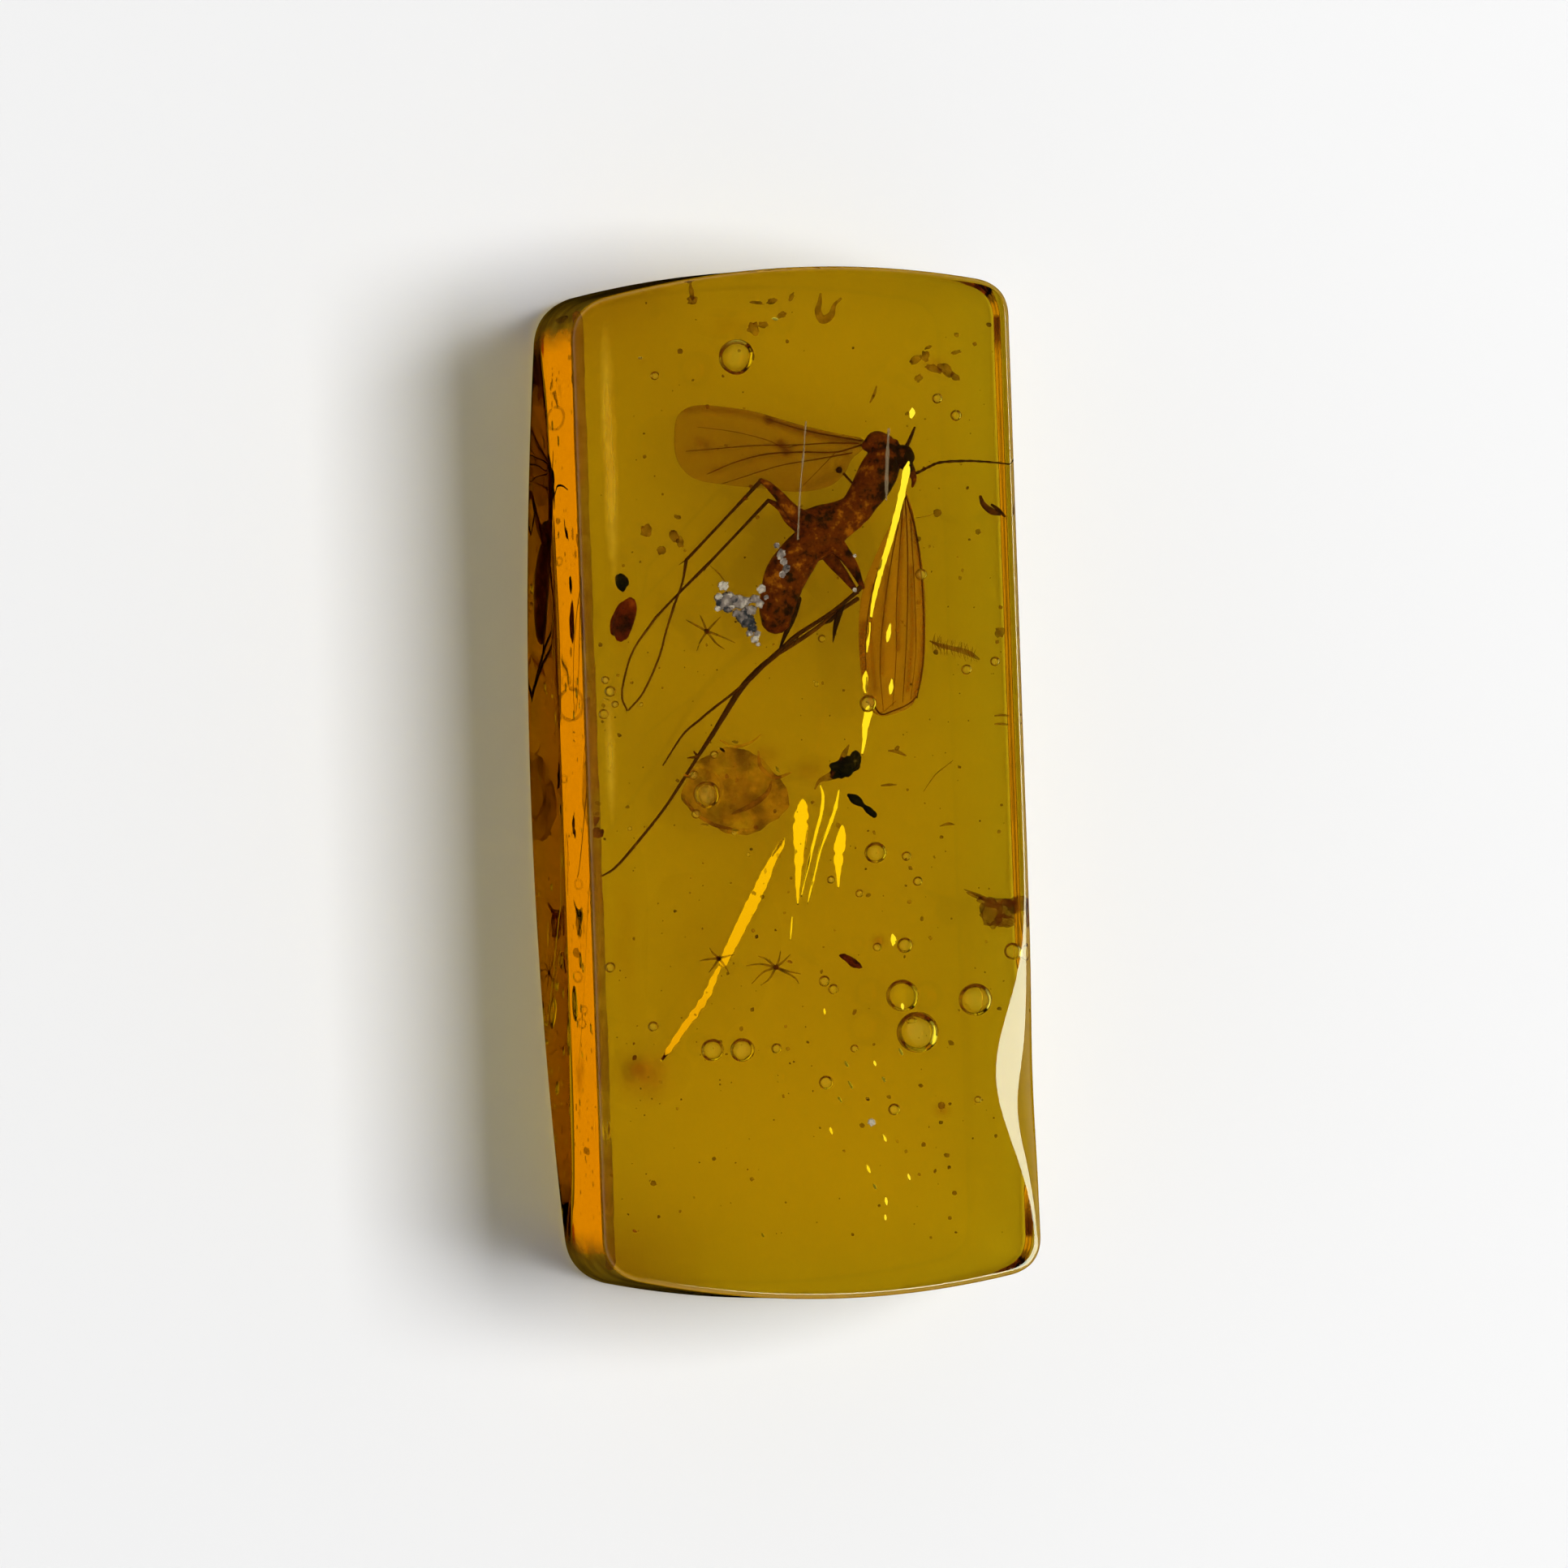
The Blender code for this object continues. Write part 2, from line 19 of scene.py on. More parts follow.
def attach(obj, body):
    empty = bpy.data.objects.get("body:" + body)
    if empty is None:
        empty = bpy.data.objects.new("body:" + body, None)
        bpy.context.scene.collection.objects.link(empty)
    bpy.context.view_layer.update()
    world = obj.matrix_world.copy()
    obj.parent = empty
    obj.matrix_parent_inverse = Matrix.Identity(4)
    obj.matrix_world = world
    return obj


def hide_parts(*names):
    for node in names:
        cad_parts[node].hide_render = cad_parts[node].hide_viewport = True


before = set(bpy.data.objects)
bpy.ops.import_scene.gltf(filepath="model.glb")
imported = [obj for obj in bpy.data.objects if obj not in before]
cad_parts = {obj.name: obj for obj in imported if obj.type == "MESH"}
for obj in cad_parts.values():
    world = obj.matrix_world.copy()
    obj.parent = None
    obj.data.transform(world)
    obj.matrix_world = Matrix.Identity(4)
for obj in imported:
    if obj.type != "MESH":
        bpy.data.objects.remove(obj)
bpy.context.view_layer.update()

MM = 0.001
# Sizes below measure x from the front face's own middle; the origin is the middle of the wider foot
FOOT_MIDDLE = np.array([0.35, 0.0, 0.0])
BODY = "root"
LIGHT_BOUNCES = 14
SPECIMEN_DEPTH = 2.6
AMBER_INDEX = 1.54
log = logging.getLogger("amber")

Points = np.ndarray
Faces = np.ndarray


class Slot(Enum):
    """The finishes that a buyer of the part may change."""

    AMBER = "amber"
    CHITIN = "gnat_chitin"
    BROWN = "brown_debris"
    BLACK = "black_debris"
    CLOUDY = "cloudy_resin"


# ---------------------------------------------------------------- shader maths

class Signal:
    """One output socket, with the arithmetic that its value takes part in."""

    def __init__(self, sketch: "Sketch", socket: bpy.types.NodeSocket) -> None:
        """Keep the socket and the material that it belongs to."""
        self.sketch = sketch
        self.socket = socket

    def _maths(self, operation: str, first: Any, second: Any = None) -> "Signal":
        """Add a Math node of the named operation on one or two values."""
        values = {0: first} if second is None else {0: first, 1: second}
        return self.sketch.node("ShaderNodeMath", {"operation": operation}, values)

    def __add__(self, other: Any) -> "Signal":
        """Sum of this value and another."""
        return self._maths("ADD", self, other)

    def __radd__(self, other: Any) -> "Signal":
        """Sum of another value and this one."""
        return self._maths("ADD", other, self)

    def __sub__(self, other: Any) -> "Signal":
        """This value less another."""
        return self._maths("SUBTRACT", self, other)

    def __rsub__(self, other: Any) -> "Signal":
        """Another value less this one."""
        return self._maths("SUBTRACT", other, self)

    def __mul__(self, other: Any) -> "Signal":
        """Product of this value and another."""
        return self._maths("MULTIPLY", self, other)

    def __rmul__(self, other: Any) -> "Signal":
        """Product of another value and this one."""
        return self._maths("MULTIPLY", other, self)

    def between(self, low: float, high: float) -> "Signal":
        """Smooth step: 0 below low, 1 above high, and an even S-curve between them."""
        settings = {"interpolation_type": "SMOOTHSTEP"}
        return self.sketch.node("ShaderNodeMapRange", settings, {"Value": self, "From Min": low, "From Max": high},
                                "Result")


class Sketch:
    """A material being drawn: its node tree and its Principled shader."""

    def __init__(self, name: str) -> None:
        """Start a material with one Principled shader on its output."""
        self.material = bpy.data.materials.new(name)
        self.material.use_nodes = True
        self.tree = self.material.node_tree
        self.shader = self.tree.nodes["Principled BSDF"]
        self.output = self.tree.nodes["Material Output"]

    def node(self, kind: str, settings: dict[str, Any] | None = None, values: dict[Any, Any] | None = None,
             output: Any = 0) -> Signal:
        """Add a node.

        Args:
            kind: the node's type.
            settings: its own properties, set before its sockets.
            values: socket name or number to a number, a colour or a Signal.
            output: the output socket that is handed back.

        Returns:
            The chosen output as a Signal.
        """
        made = self.tree.nodes.new(kind)
        for key, value in (settings or {}).items():
            setattr(made, key, value)
        for key, value in (values or {}).items():
            self.feed(made.inputs[key], value)
        return Signal(self, made.outputs[output])

    def feed(self, socket: bpy.types.NodeSocket, value: Any) -> None:
        """Link a Signal into a socket, or set the socket's own value."""
        if isinstance(value, Signal):
            self.tree.links.new(value.socket, socket)
        elif isinstance(value, tuple) and len(value) == 3 and len(socket.default_value) == 4:
            socket.default_value = (*value, 1.0)
        else:
            socket.default_value = value

    def place(self) -> Signal:
        """The point's own place on the object, in metres."""
        return self.node("ShaderNodeTexCoord", output="Object")

    def noise(self, size: float, detail: float = 2.0, roughness: float = 0.5) -> Signal:
        """Noise of about the given grain size in millimetres."""
        values = {"Vector": self.place(), "Scale": 1 / (size * MM), "Detail": detail, "Roughness": roughness}
        return self.node("ShaderNodeTexNoise", None, values, "Fac")

    def attribute(self, name: str) -> Signal:
        """A number that the mesh carries at each point."""
        return self.node("ShaderNodeAttribute", {"attribute_name": name}, output="Fac")

    def blend(self, share: Any, first: Any, second: Any) -> Signal:
        """A colour between two, by a share from 0 to 1."""
        return self.node("ShaderNodeMix", {"data_type": "RGBA"}, {0: share, 6: first, 7: second}, 2)

    def bump(self, height: Signal, depth: float, strength: float) -> Signal:
        """A normal from a height signal, whose full swing is depth millimetres."""
        values = {"Height": height, "Distance": depth * MM, "Strength": strength}
        return self.node("ShaderNodeBump", None, values, "Normal")

    def set(self, **values: Any) -> None:
        """Set or link the shader's sockets; a keyword's underscores stand for spaces."""
        for key, value in values.items():
            self.feed(self.shader.inputs[key.replace("_", " ")], value)


# ---------------------------------------------------------------- meshes

@dataclass
class Sheaf:
    """Closed shapes gathered into one mesh, with a tone from 0 to 1 at each point."""

    points: list[Points] = field(default_factory=list)
    faces: list[Faces] = field(default_factory=list)
    tones: list[np.ndarray] = field(default_factory=list)
    count: int = 0

    def add(self, points: Points, faces: Sequence[Faces], tone: float | np.ndarray = 0.5,
            inward: bool = False) -> None:
        """Add one shape.

        Args:
            points: its places in millimetres, one row each.
            faces: arrays of corner numbers, each with one face a row.
            tone: one number for the shape, or one for each point.
            inward: turn the faces round, for a hollow.
        """
        self.points.append(points)
        for block in faces:
            self.faces.append((block[:, ::-1] if inward else block) + self.count)
        self.tones.append(np.broadcast_to(tone, (len(points),)).astype(np.float32))
        self.count += len(points)

    def wrap(self, rings: np.ndarray, tone: float | np.ndarray = 0.5, inward: bool = False) -> None:
        """Add the closed shape that an array of rings makes."""
        self.add(*closed_rings(rings), tone, inward)

    def piece(self, name: str, material: bpy.types.Material) -> bpy.types.Object:
        """Make the gathered shapes one smooth mesh object, put in the scene and riding on the body."""
        points = (np.vstack(self.points) - FOOT_MIDDLE) * MM
        corners = np.concatenate([block.ravel() for block in self.faces])
        sizes = np.concatenate([np.full(len(block), block.shape[1]) for block in self.faces])
        starts = np.concatenate([[0], np.cumsum(sizes)[:-1]])
        mesh = bpy.data.meshes.new(name)
        mesh.vertices.add(len(points))
        mesh.vertices.foreach_set("co", points.astype(np.float32).ravel())
        mesh.loops.add(len(corners))
        mesh.loops.foreach_set("vertex_index", corners.astype(np.int32))
        mesh.polygons.add(len(sizes))
        mesh.polygons.foreach_set("loop_start", starts.astype(np.int32))
        mesh.polygons.foreach_set("use_smooth", np.ones(len(sizes), dtype=bool))
        mesh.attributes.new("tone", "FLOAT", "POINT").data.foreach_set("value", np.concatenate(self.tones))
        mesh.update(calc_edges=True)
        mesh.validate()
        mesh.materials.append(material)
        made = bpy.data.objects.new(name, mesh)
        bpy.context.scene.collection.objects.link(made)
        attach(made, BODY)
        log.info("%s: %d points, %d faces", name, len(points), len(sizes))
        return made


def lattice(rows: int, columns: int) -> Faces:
    """Faces of a grid of rows by columns, whose columns run round, outward for counter-clockwise
    rings listed from the bottom up."""
    row, column = np.meshgrid(np.arange(rows - 1), np.arange(columns), indexing="ij")
    beside = (column + 1) % columns
    quads = np.stack([row * columns + column, row * columns + beside,
                      (row + 1) * columns + beside, (row + 1) * columns + column], axis=-1)
    return quads.reshape(-1, 4)


def fans(columns: int, rows: int, low: int, high: int) -> Faces:
    """Triangles that close a grid's first ring on point low and its last ring on point high."""
    column = np.arange(columns)
    beside = (column + 1) % columns
    last = (rows - 1) * columns
    foot = np.stack([np.full(columns, low), beside, column], axis=-1)
    head = np.stack([np.full(columns, high), last + column, last + beside], axis=-1)
    return np.vstack([foot, head])


def closed_rings(rings: np.ndarray) -> tuple[Points, list[Faces]]:
    """A closed shape from an array of rings (rows, columns, 3): a grid, and a fan at each end."""
    rows, columns = rings.shape[:2]
    points = np.vstack([rings.reshape(-1, 3), rings[0].mean(axis=0), rings[-1].mean(axis=0)])
    count = rows * columns
    return points, [lattice(rows, columns), fans(columns, rows, count, count + 1)]


def smooth_route(route: Sequence[Sequence[float]], steps: int) -> np.ndarray:
    """Catmull-Rom curve through a route's points, each number of a point (place, radius) alike.

    Between points b and c, with a before and d after, it is
    half of (2b + (c - a)t + (2a - 5b + 4c - d)t^2 + (3b - a - 3c + d)t^3).
    """
    points = np.asarray(route, dtype=float)
    padded = np.vstack([2 * points[0] - points[1], points, 2 * points[-1] - points[-2]])
    a, b, c, d = (padded[shift:len(points) - 1 + shift, None, :] for shift in range(4))
    t = (np.arange(steps) / steps)[None, :, None]
    curve = 0.5 * (2 * b + (c - a) * t + (2 * a - 5 * b + 4 * c - d) * t ** 2 + (3 * b - a - 3 * c + d) * t ** 3)
    return np.vstack([curve.reshape(-1, points.shape[1]), points[-1]])


# ---------------------------------------------------------------- shapes that more than one piece uses

def lumps(points: np.ndarray, seed: int, size: float, octaves: int = 3) -> np.ndarray:
    """A smooth random height at each point, from about -1 to 1.

    Each octave is the mean of sines along six random directions, at half the size and half the
    height of the one before.
    """
    chance = np.random.default_rng(seed)
    height = np.zeros(points.shape[:-1])
    for octave in range(octaves):
        direction = chance.normal(size=(6, points.shape[-1]))
        direction *= 2 * math.pi * 2 ** octave / size / np.linalg.norm(direction, axis=1)[:, None]
        height += 0.5 ** octave * np.sin(points @ direction.T + chance.uniform(0, 2 * math.pi, 6)).mean(axis=-1)
    return height * 1.6


def nearness(points: Points, line: np.ndarray, reach: float) -> np.ndarray:
    """Nearness in plan of points to a line of corners: exp(-(distance / reach)^2)."""
    start, run = line[:-1, :2], np.diff(line[:, :2], axis=0)
    offset = points[:, None, :2] - start
    share = np.clip((offset * run).sum(-1) / np.maximum((run ** 2).sum(-1), 1e-12), 0, 1)
    gap = np.linalg.norm(offset - share[..., None] * run, axis=-1).min(axis=1)
    return np.exp(-(gap / reach) ** 2)


def tube_rings(route: np.ndarray, columns: int = 10, flatness: float = 1.0) -> np.ndarray:
    """Rings of a round-ended tube along a route of (x, y, z, radius).

    A ring's points are place + radius (cos a side + flatness sin a rise), where side is level and
    rise squares with both. The end rings close in as a half circle does.
    """
    run = np.gradient(route[:, :3], axis=0)
    run /= np.linalg.norm(run, axis=1)[:, None]
    close = np.radians([84, 60, 30])
    first, last = route[0], route[-1]
    head = np.column_stack([first[:3] - run[0] * (first[3] * np.sin(close))[:, None], first[3] * np.cos(close)])
    tail = np.column_stack([last[:3] + run[-1] * (last[3] * np.sin(close))[:, None], last[3] * np.cos(close)])
    route = np.vstack([head, route, tail[::-1]])
    run = np.vstack([np.tile(run[0], (3, 1)), run, np.tile(run[-1], (3, 1))])
    side = np.cross((0.0, 0.0, 1.0), run)
    side /= np.linalg.norm(side, axis=1)[:, None]
    rise = np.cross(run, side)
    turn = np.linspace(0, 2 * math.pi, columns, endpoint=False)
    across = np.cos(turn)[:, None] * side[:, None] + flatness * np.sin(turn)[:, None] * rise[:, None]
    return route[:, None, :3] + route[:, None, 3:] * across


def ball_rings(rows: int, columns: int) -> np.ndarray:
    """Rings of a ball of radius 1, from its foot to its crown."""
    rise = np.radians(np.linspace(-86, 86, rows))[:, None]
    turn = np.linspace(0, 2 * math.pi, columns, endpoint=False)
    return np.stack([np.cos(rise) * np.cos(turn), np.cos(rise) * np.sin(turn),
                     np.broadcast_to(np.sin(rise), (rows, columns))], axis=-1)


def nugget_rings(centre: Sequence[float], half_axes: Sequence[float], heading: float = 0.0, uneven: float = 0.0,
                 seed: int = 0, size: float = 1.2, rows: int = 20, columns: int = 28) -> np.ndarray:
    """Rings of an uneven ball.

    The ball's points are moved out by uneven times a smooth random height of the given size (in
    radii), stretched to the half axes, turned about Z to the heading in degrees, and put at centre.
    """
    ball = ball_rings(rows, columns)
    shape = ball * (1 + uneven * lumps(ball, seed, size)[..., None]) * np.asarray(half_axes)
    turn = math.radians(heading)
    rotation = np.array([[math.cos(turn), math.sin(turn), 0], [-math.sin(turn), math.cos(turn), 0], [0, 0, 1]])
    return shape @ rotation + np.asarray(centre)


def plate_rings(loop: np.ndarray, height: Any, thickness: float, rows: int = 24) -> np.ndarray:
    """Rings of a thin plate inside a closed loop of (x, y): drawn in towards its middle, out along
    the back, round the rim and in along the front. Height gives z at each place."""
    share = np.concatenate([np.linspace(0.02, 1.0, rows), np.linspace(1.0, 0.02, rows)])[:, None, None]
    middle = loop.mean(axis=0)
    plan = middle + (loop - middle) * share
    edge = np.sqrt(np.clip(1 - share[..., 0] ** 8, 0, 1)) * thickness / 2
    side = np.where(np.arange(2 * rows) < rows, -1.0, 1.0)[:, None]
    return np.concatenate([plan, (height(plan) + side * edge)[..., None]], axis=-1)


def closed_loop(corners: np.ndarray, steps: int) -> np.ndarray:
    """A closed Catmull-Rom curve through corners of (x, y), counter-clockwise."""
    area = np.sum(corners[:, 0] * np.roll(corners[:, 1], -1) - np.roll(corners[:, 0], -1) * corners[:, 1])
    ordered = corners if area > 0 else corners[::-1]
    round_trip = np.vstack([ordered[-2:], ordered, ordered[:3]])
    curve = smooth_route(round_trip, steps)
    return curve[2 * steps:(2 + len(ordered)) * steps]


def fused(shapes: Iterable[np.ndarray], grain: float) -> tuple[Points, Faces]:
    """One smooth skin round overlapping closed shapes: a voxel remesh at the grain, then relaxed.

    The work is done at a thousand times real size, and the result is points in millimetres and
    four-cornered faces.
    """
    work = bpy.data.meshes.new("fusing")
    corners, quads, tris = [], [], []
    count = 0
    for rings in shapes:
        points, (sides, ends) = closed_rings(rings)
        corners.append(points)
        quads += (sides + count).tolist()
        tris += (ends + count).tolist()
        count += len(points)
    work.from_pydata(np.vstack(corners).tolist(), [], quads + tris)
    holder = bpy.data.objects.new("fusing", work)
    bpy.context.scene.collection.objects.link(holder)
    remesh = holder.modifiers.new("remesh", "REMESH")
    remesh.mode, remesh.voxel_size = "VOXEL", grain
    relax = holder.modifiers.new("relax", "SMOOTH")
    relax.factor, relax.iterations = 0.5, 6
    shape = holder.evaluated_get(bpy.context.evaluated_depsgraph_get()).to_mesh()
    points = np.empty(len(shape.vertices) * 3, dtype=np.float32)
    shape.vertices.foreach_get("co", points)
    faces = np.empty(len(shape.loops), dtype=np.int32)
    shape.loops.foreach_get("vertex_index", faces)
    bpy.data.objects.remove(holder, do_unlink=True)
    bpy.data.meshes.remove(work)
    return points.reshape(-1, 3).astype(float), faces.reshape(-1, 4)


# ---------------------------------------------------------------- finishes of what is sealed in

@dataclass(frozen=True)
class Husk:
    """A mottled brown or black skin: tone and two grains of noise run it from dark to pale."""

    name: str
    dark: tuple[float, float, float]
    middle: tuple[float, float, float]
    pale: tuple[float, float, float]
    grain: float = 0.05
    patch: float = 0.35
    contrast: float = 0.5
    roughness: float = 0.35
    relief: float = 0.006
    density: float = 1.0
    gloss: float = 0.06

    def make(self) -> bpy.types.Material:
        """The material; a density below 1 lets the stone behind it show through."""
        sketch = Sketch(self.name)
        grain, patch = sketch.noise(self.grain, 3.0, 0.6), sketch.noise(self.patch, 2.0)
        share = sketch.attribute("tone") + (grain - 0.5) * self.contrast + (patch - 0.5) * (2 * self.contrast)
        low = sketch.blend(share.between(0.0, 0.5), self.dark, self.middle)
        sketch.set(Base_Color=sketch.blend(share.between(0.5, 1.0), low, self.pale),
                   Roughness=grain * 0.3 + (self.roughness - 0.1), Normal=sketch.bump(grain, self.relief, 0.6),
                   Specular_IOR_Level=self.gloss)
        if self.density < 1:
            sketch.set(Alpha=share.between(1.6, -0.6) * self.density)
        return sketch.material


@dataclass(frozen=True)
class Membrane:
    """A thin clear brown wing skin, denser where the tone is high."""

    name: str
    thin: tuple[float, float, float]
    thick: tuple[float, float, float]
    clearest: float = 0.10
    densest: float = 0.75
    roughness: float = 0.3

    def make(self) -> bpy.types.Material:
        """The material: tone runs its colour and its cover, with a fine grain of hairs."""
        sketch = Sketch(self.name)
        tone, grain = sketch.attribute("tone"), sketch.noise(0.03, 2.0)
        cover = tone * (self.densest - self.clearest) + self.clearest
        sketch.set(Base_Color=sketch.blend(tone, self.thin, self.thick), Roughness=self.roughness,
                   Alpha=cover * (grain * 0.6 + 0.7), Normal=sketch.bump(grain, 0.002, 0.4),
                   Specular_IOR_Level=0.05)
        return sketch.material


CHITIN = Husk("gnat_chitin_skin", dark=(0.022, 0.006, 0.0012), middle=(0.17, 0.036, 0.005),
              pale=(0.55, 0.19, 0.03), grain=0.07, patch=0.26, contrast=0.8, roughness=0.3, relief=0.012)
SHANK = Husk("gnat_leg_skin", dark=(0.02, 0.007, 0.002), middle=(0.085, 0.028, 0.005), pale=(0.30, 0.12, 0.02),
             grain=0.03, patch=0.4, contrast=0.3, roughness=0.35, relief=0.003)
BARK = Husk("bark_crumb_skin", dark=(0.03, 0.010, 0.003), middle=(0.15, 0.045, 0.008), pale=(0.42, 0.20, 0.03),
            grain=0.05, patch=0.22, contrast=0.5, roughness=0.6, relief=0.012)
# Skin of faint brown debris, and also of the painted rings round bubbles and behind the left wall
FAINT_DEBRIS_AND_PAINTED_RINGS = Husk("faint_debris_and_painted_ring_skin", dark=(0.05, 0.012, 0.003), middle=(0.28, 0.048, 0.005), pale=(0.66, 0.20, 0.015),
            grain=0.05, patch=0.22, contrast=0.5, roughness=0.6, relief=0.012, density=0.62)
SEED = Husk("seed_skin", dark=(0.02, 0.003, 0.001), middle=(0.16, 0.022, 0.003), pale=(0.40, 0.08, 0.01),
            grain=0.06, patch=0.3, contrast=0.35, roughness=0.25, relief=0.005)
COAL = Husk("black_chip_skin", dark=(0.004, 0.004, 0.004), middle=(0.02, 0.016, 0.012), pale=(0.14, 0.11, 0.08),
            grain=0.05, patch=0.2, contrast=0.3, roughness=0.45, relief=0.01)
CLOUD = Husk("cloudy_resin_skin", dark=(0.20, 0.055, 0.004), middle=(0.72, 0.26, 0.012), pale=(1.0, 0.62, 0.06),
             grain=0.08, patch=0.45, contrast=0.8, roughness=0.3, relief=0.02, density=0.62)
FROSTED_AND_GLINT = Husk("frosted_bubble_and_glint_skin", dark=(0.03, 0.034, 0.045), middle=(0.28, 0.225, 0.22), pale=(0.70, 0.62, 0.57),
             grain=0.09, patch=0.25, contrast=0.5, roughness=0.35, relief=0.01)
HAIRLINE = Husk("hairline_skin", dark=(0.3, 0.2, 0.12), middle=(0.50, 0.37, 0.25), pale=(0.7, 0.6, 0.5),
                grain=0.04, patch=0.3, contrast=0.4, roughness=0.6, relief=0.002, density=0.75)


# ---------------------------------------------------------------- the studio

@dataclass(frozen=True)
class Viewpoint:
    """The camera above the slab, leaning to its left, and how the front face bends what it sees."""

    tilt: float = 11.0
    roll: float = 2.0
    distance: float = 220.0
    aim: tuple[float, float, float] = (-0.372, 0.0, 6.8)
    pixels_per_mm: float = 49.0
    frame_pixels: float = 1932.0
    sensor: float = 36.0
    amber_index: float = AMBER_INDEX
    face_height: float = 6.8

    def axes(self) -> tuple[Vector, Vector, Vector]:
        """The camera's right, up and forward directions."""
        tilt, roll = math.radians(self.tilt), math.radians(self.roll)
        forward = Vector((math.sin(tilt), 0, -math.cos(tilt)))
        level = Vector((math.cos(tilt), 0, math.sin(tilt)))
        along = Vector((0, 1, 0))
        up = along * math.cos(roll) + level * math.sin(roll)
        return level * math.cos(roll) - along * math.sin(roll), up, forward

    def place(self) -> Vector:
        """The camera's place in millimetres."""
        return Vector(self.aim) - self.axes()[2] * self.distance

    def below(self, x: float | np.ndarray, y: float | np.ndarray, depth: float | np.ndarray) -> Points:
        """The places that show at (x, y) on the front face, at a depth under it, by Snell's law."""
        eye = self.place()
        run = np.stack([np.asarray(x, float) - eye.x, np.asarray(y, float) - eye.y], axis=-1)
        slant = np.sqrt((run ** 2).sum(axis=-1) + (eye.z - self.face_height) ** 2)
        inside = run / (slant[..., None] * self.amber_index)
        drop = np.sqrt(1 - (inside ** 2).sum(axis=-1))
        shift = inside / drop[..., None] * np.asarray(depth, float)[..., None]
        height = self.face_height - np.broadcast_to(depth, shift.shape[:-1])
        return np.concatenate([np.stack([x, y], axis=-1) + shift, height[..., None]], axis=-1)

    def pinned(self, across: float | np.ndarray, down: float | np.ndarray, depth: float | np.ndarray) -> Points:
        """The places, at a depth under the front face, that show at a frame place.

        A frame place counts frame units across and down from the frame's upper left corner. The line
        of sight through it is forward + s right + t up, and is followed to the front face.
        """
        right, up, forward = (np.array(axis) for axis in self.axes())
        eye, reach = np.array(self.place()), self.pixels_per_mm * self.distance
        s = (np.asarray(across, float) - self.frame_pixels / 2)[..., None] / reach
        t = (self.frame_pixels / 2 - np.asarray(down, float))[..., None] / reach
        sight = forward + s * right + t * up
        face = eye + sight * ((self.face_height - eye[2]) / sight[..., 2:])
        return self.below(face[..., 0], face[..., 1], depth)

    def laid(self, route: Iterable[Sequence[float]], depth: float) -> np.ndarray:
        """A route of (across, down, lift, radius) at a depth, as rows of (x, y, z, radius)."""
        rows = np.array(list(route), dtype=float)
        places = self.pinned(rows[:, 0], rows[:, 1], np.full(len(rows), depth))
        places[:, 2] += rows[:, 2]
        return np.column_stack([places, rows[:, 3]])

    def make(self) -> None:
        """Make the camera and give it to the scene."""
        data = bpy.data.cameras.new("camera")
        data.sensor_width = self.sensor
        data.lens = self.sensor * self.pixels_per_mm * self.distance / self.frame_pixels
        data.clip_start = 0.01
        data.clip_end = 10.0
        camera = bpy.data.objects.new("camera", data)
        right, up, forward = self.axes()
        turn = Matrix((right, up, -forward)).transposed().to_4x4()
        camera.matrix_world = Matrix.Translation((self.place() - Vector(FOOT_MIDDLE)) * MM) @ turn
        bpy.context.scene.collection.objects.link(camera)
        bpy.context.scene.camera = camera


@dataclass(frozen=True)
class Softbox:
    """A rectangular light that faces the slab, placed by azimuth from +X and elevation in degrees."""

    name: str
    azimuth: float
    elevation: float
    distance: float
    width: float
    height: float
    radiance: float
    colour: tuple[float, float, float] = (1.0, 1.0, 1.0)
    on_surfaces: bool = True
    mirrored: bool = True
    through: bool = True
    aim: tuple[float, float, float] = (0.0, 0.0, 3.0)

    def make(self) -> None:
        """Make the light; its power is radiance times area times pi."""
        data = bpy.data.lights.new(self.name, "AREA")
        data.shape = "RECTANGLE"
        data.size = self.width * MM
        data.size_y = self.height * MM
        data.energy = self.radiance * self.width * self.height * MM * MM * math.pi
        data.color = self.colour
        lamp = bpy.data.objects.new(self.name, data)
        azimuth, elevation = math.radians(self.azimuth), math.radians(self.elevation)
        towards = Vector((math.cos(azimuth) * math.cos(elevation), math.sin(azimuth) * math.cos(elevation),
                          math.sin(elevation)))
        lamp.location = (Vector(self.aim) + towards * self.distance) * MM
        lamp.rotation_mode = "QUATERNION"
        lamp.rotation_quaternion = towards.to_track_quat("Z", "Y")
        lamp.visible_camera = False
        lamp.visible_diffuse = self.on_surfaces
        lamp.visible_glossy = self.mirrored
        lamp.visible_transmission = self.through
        bpy.context.scene.collection.objects.link(lamp)


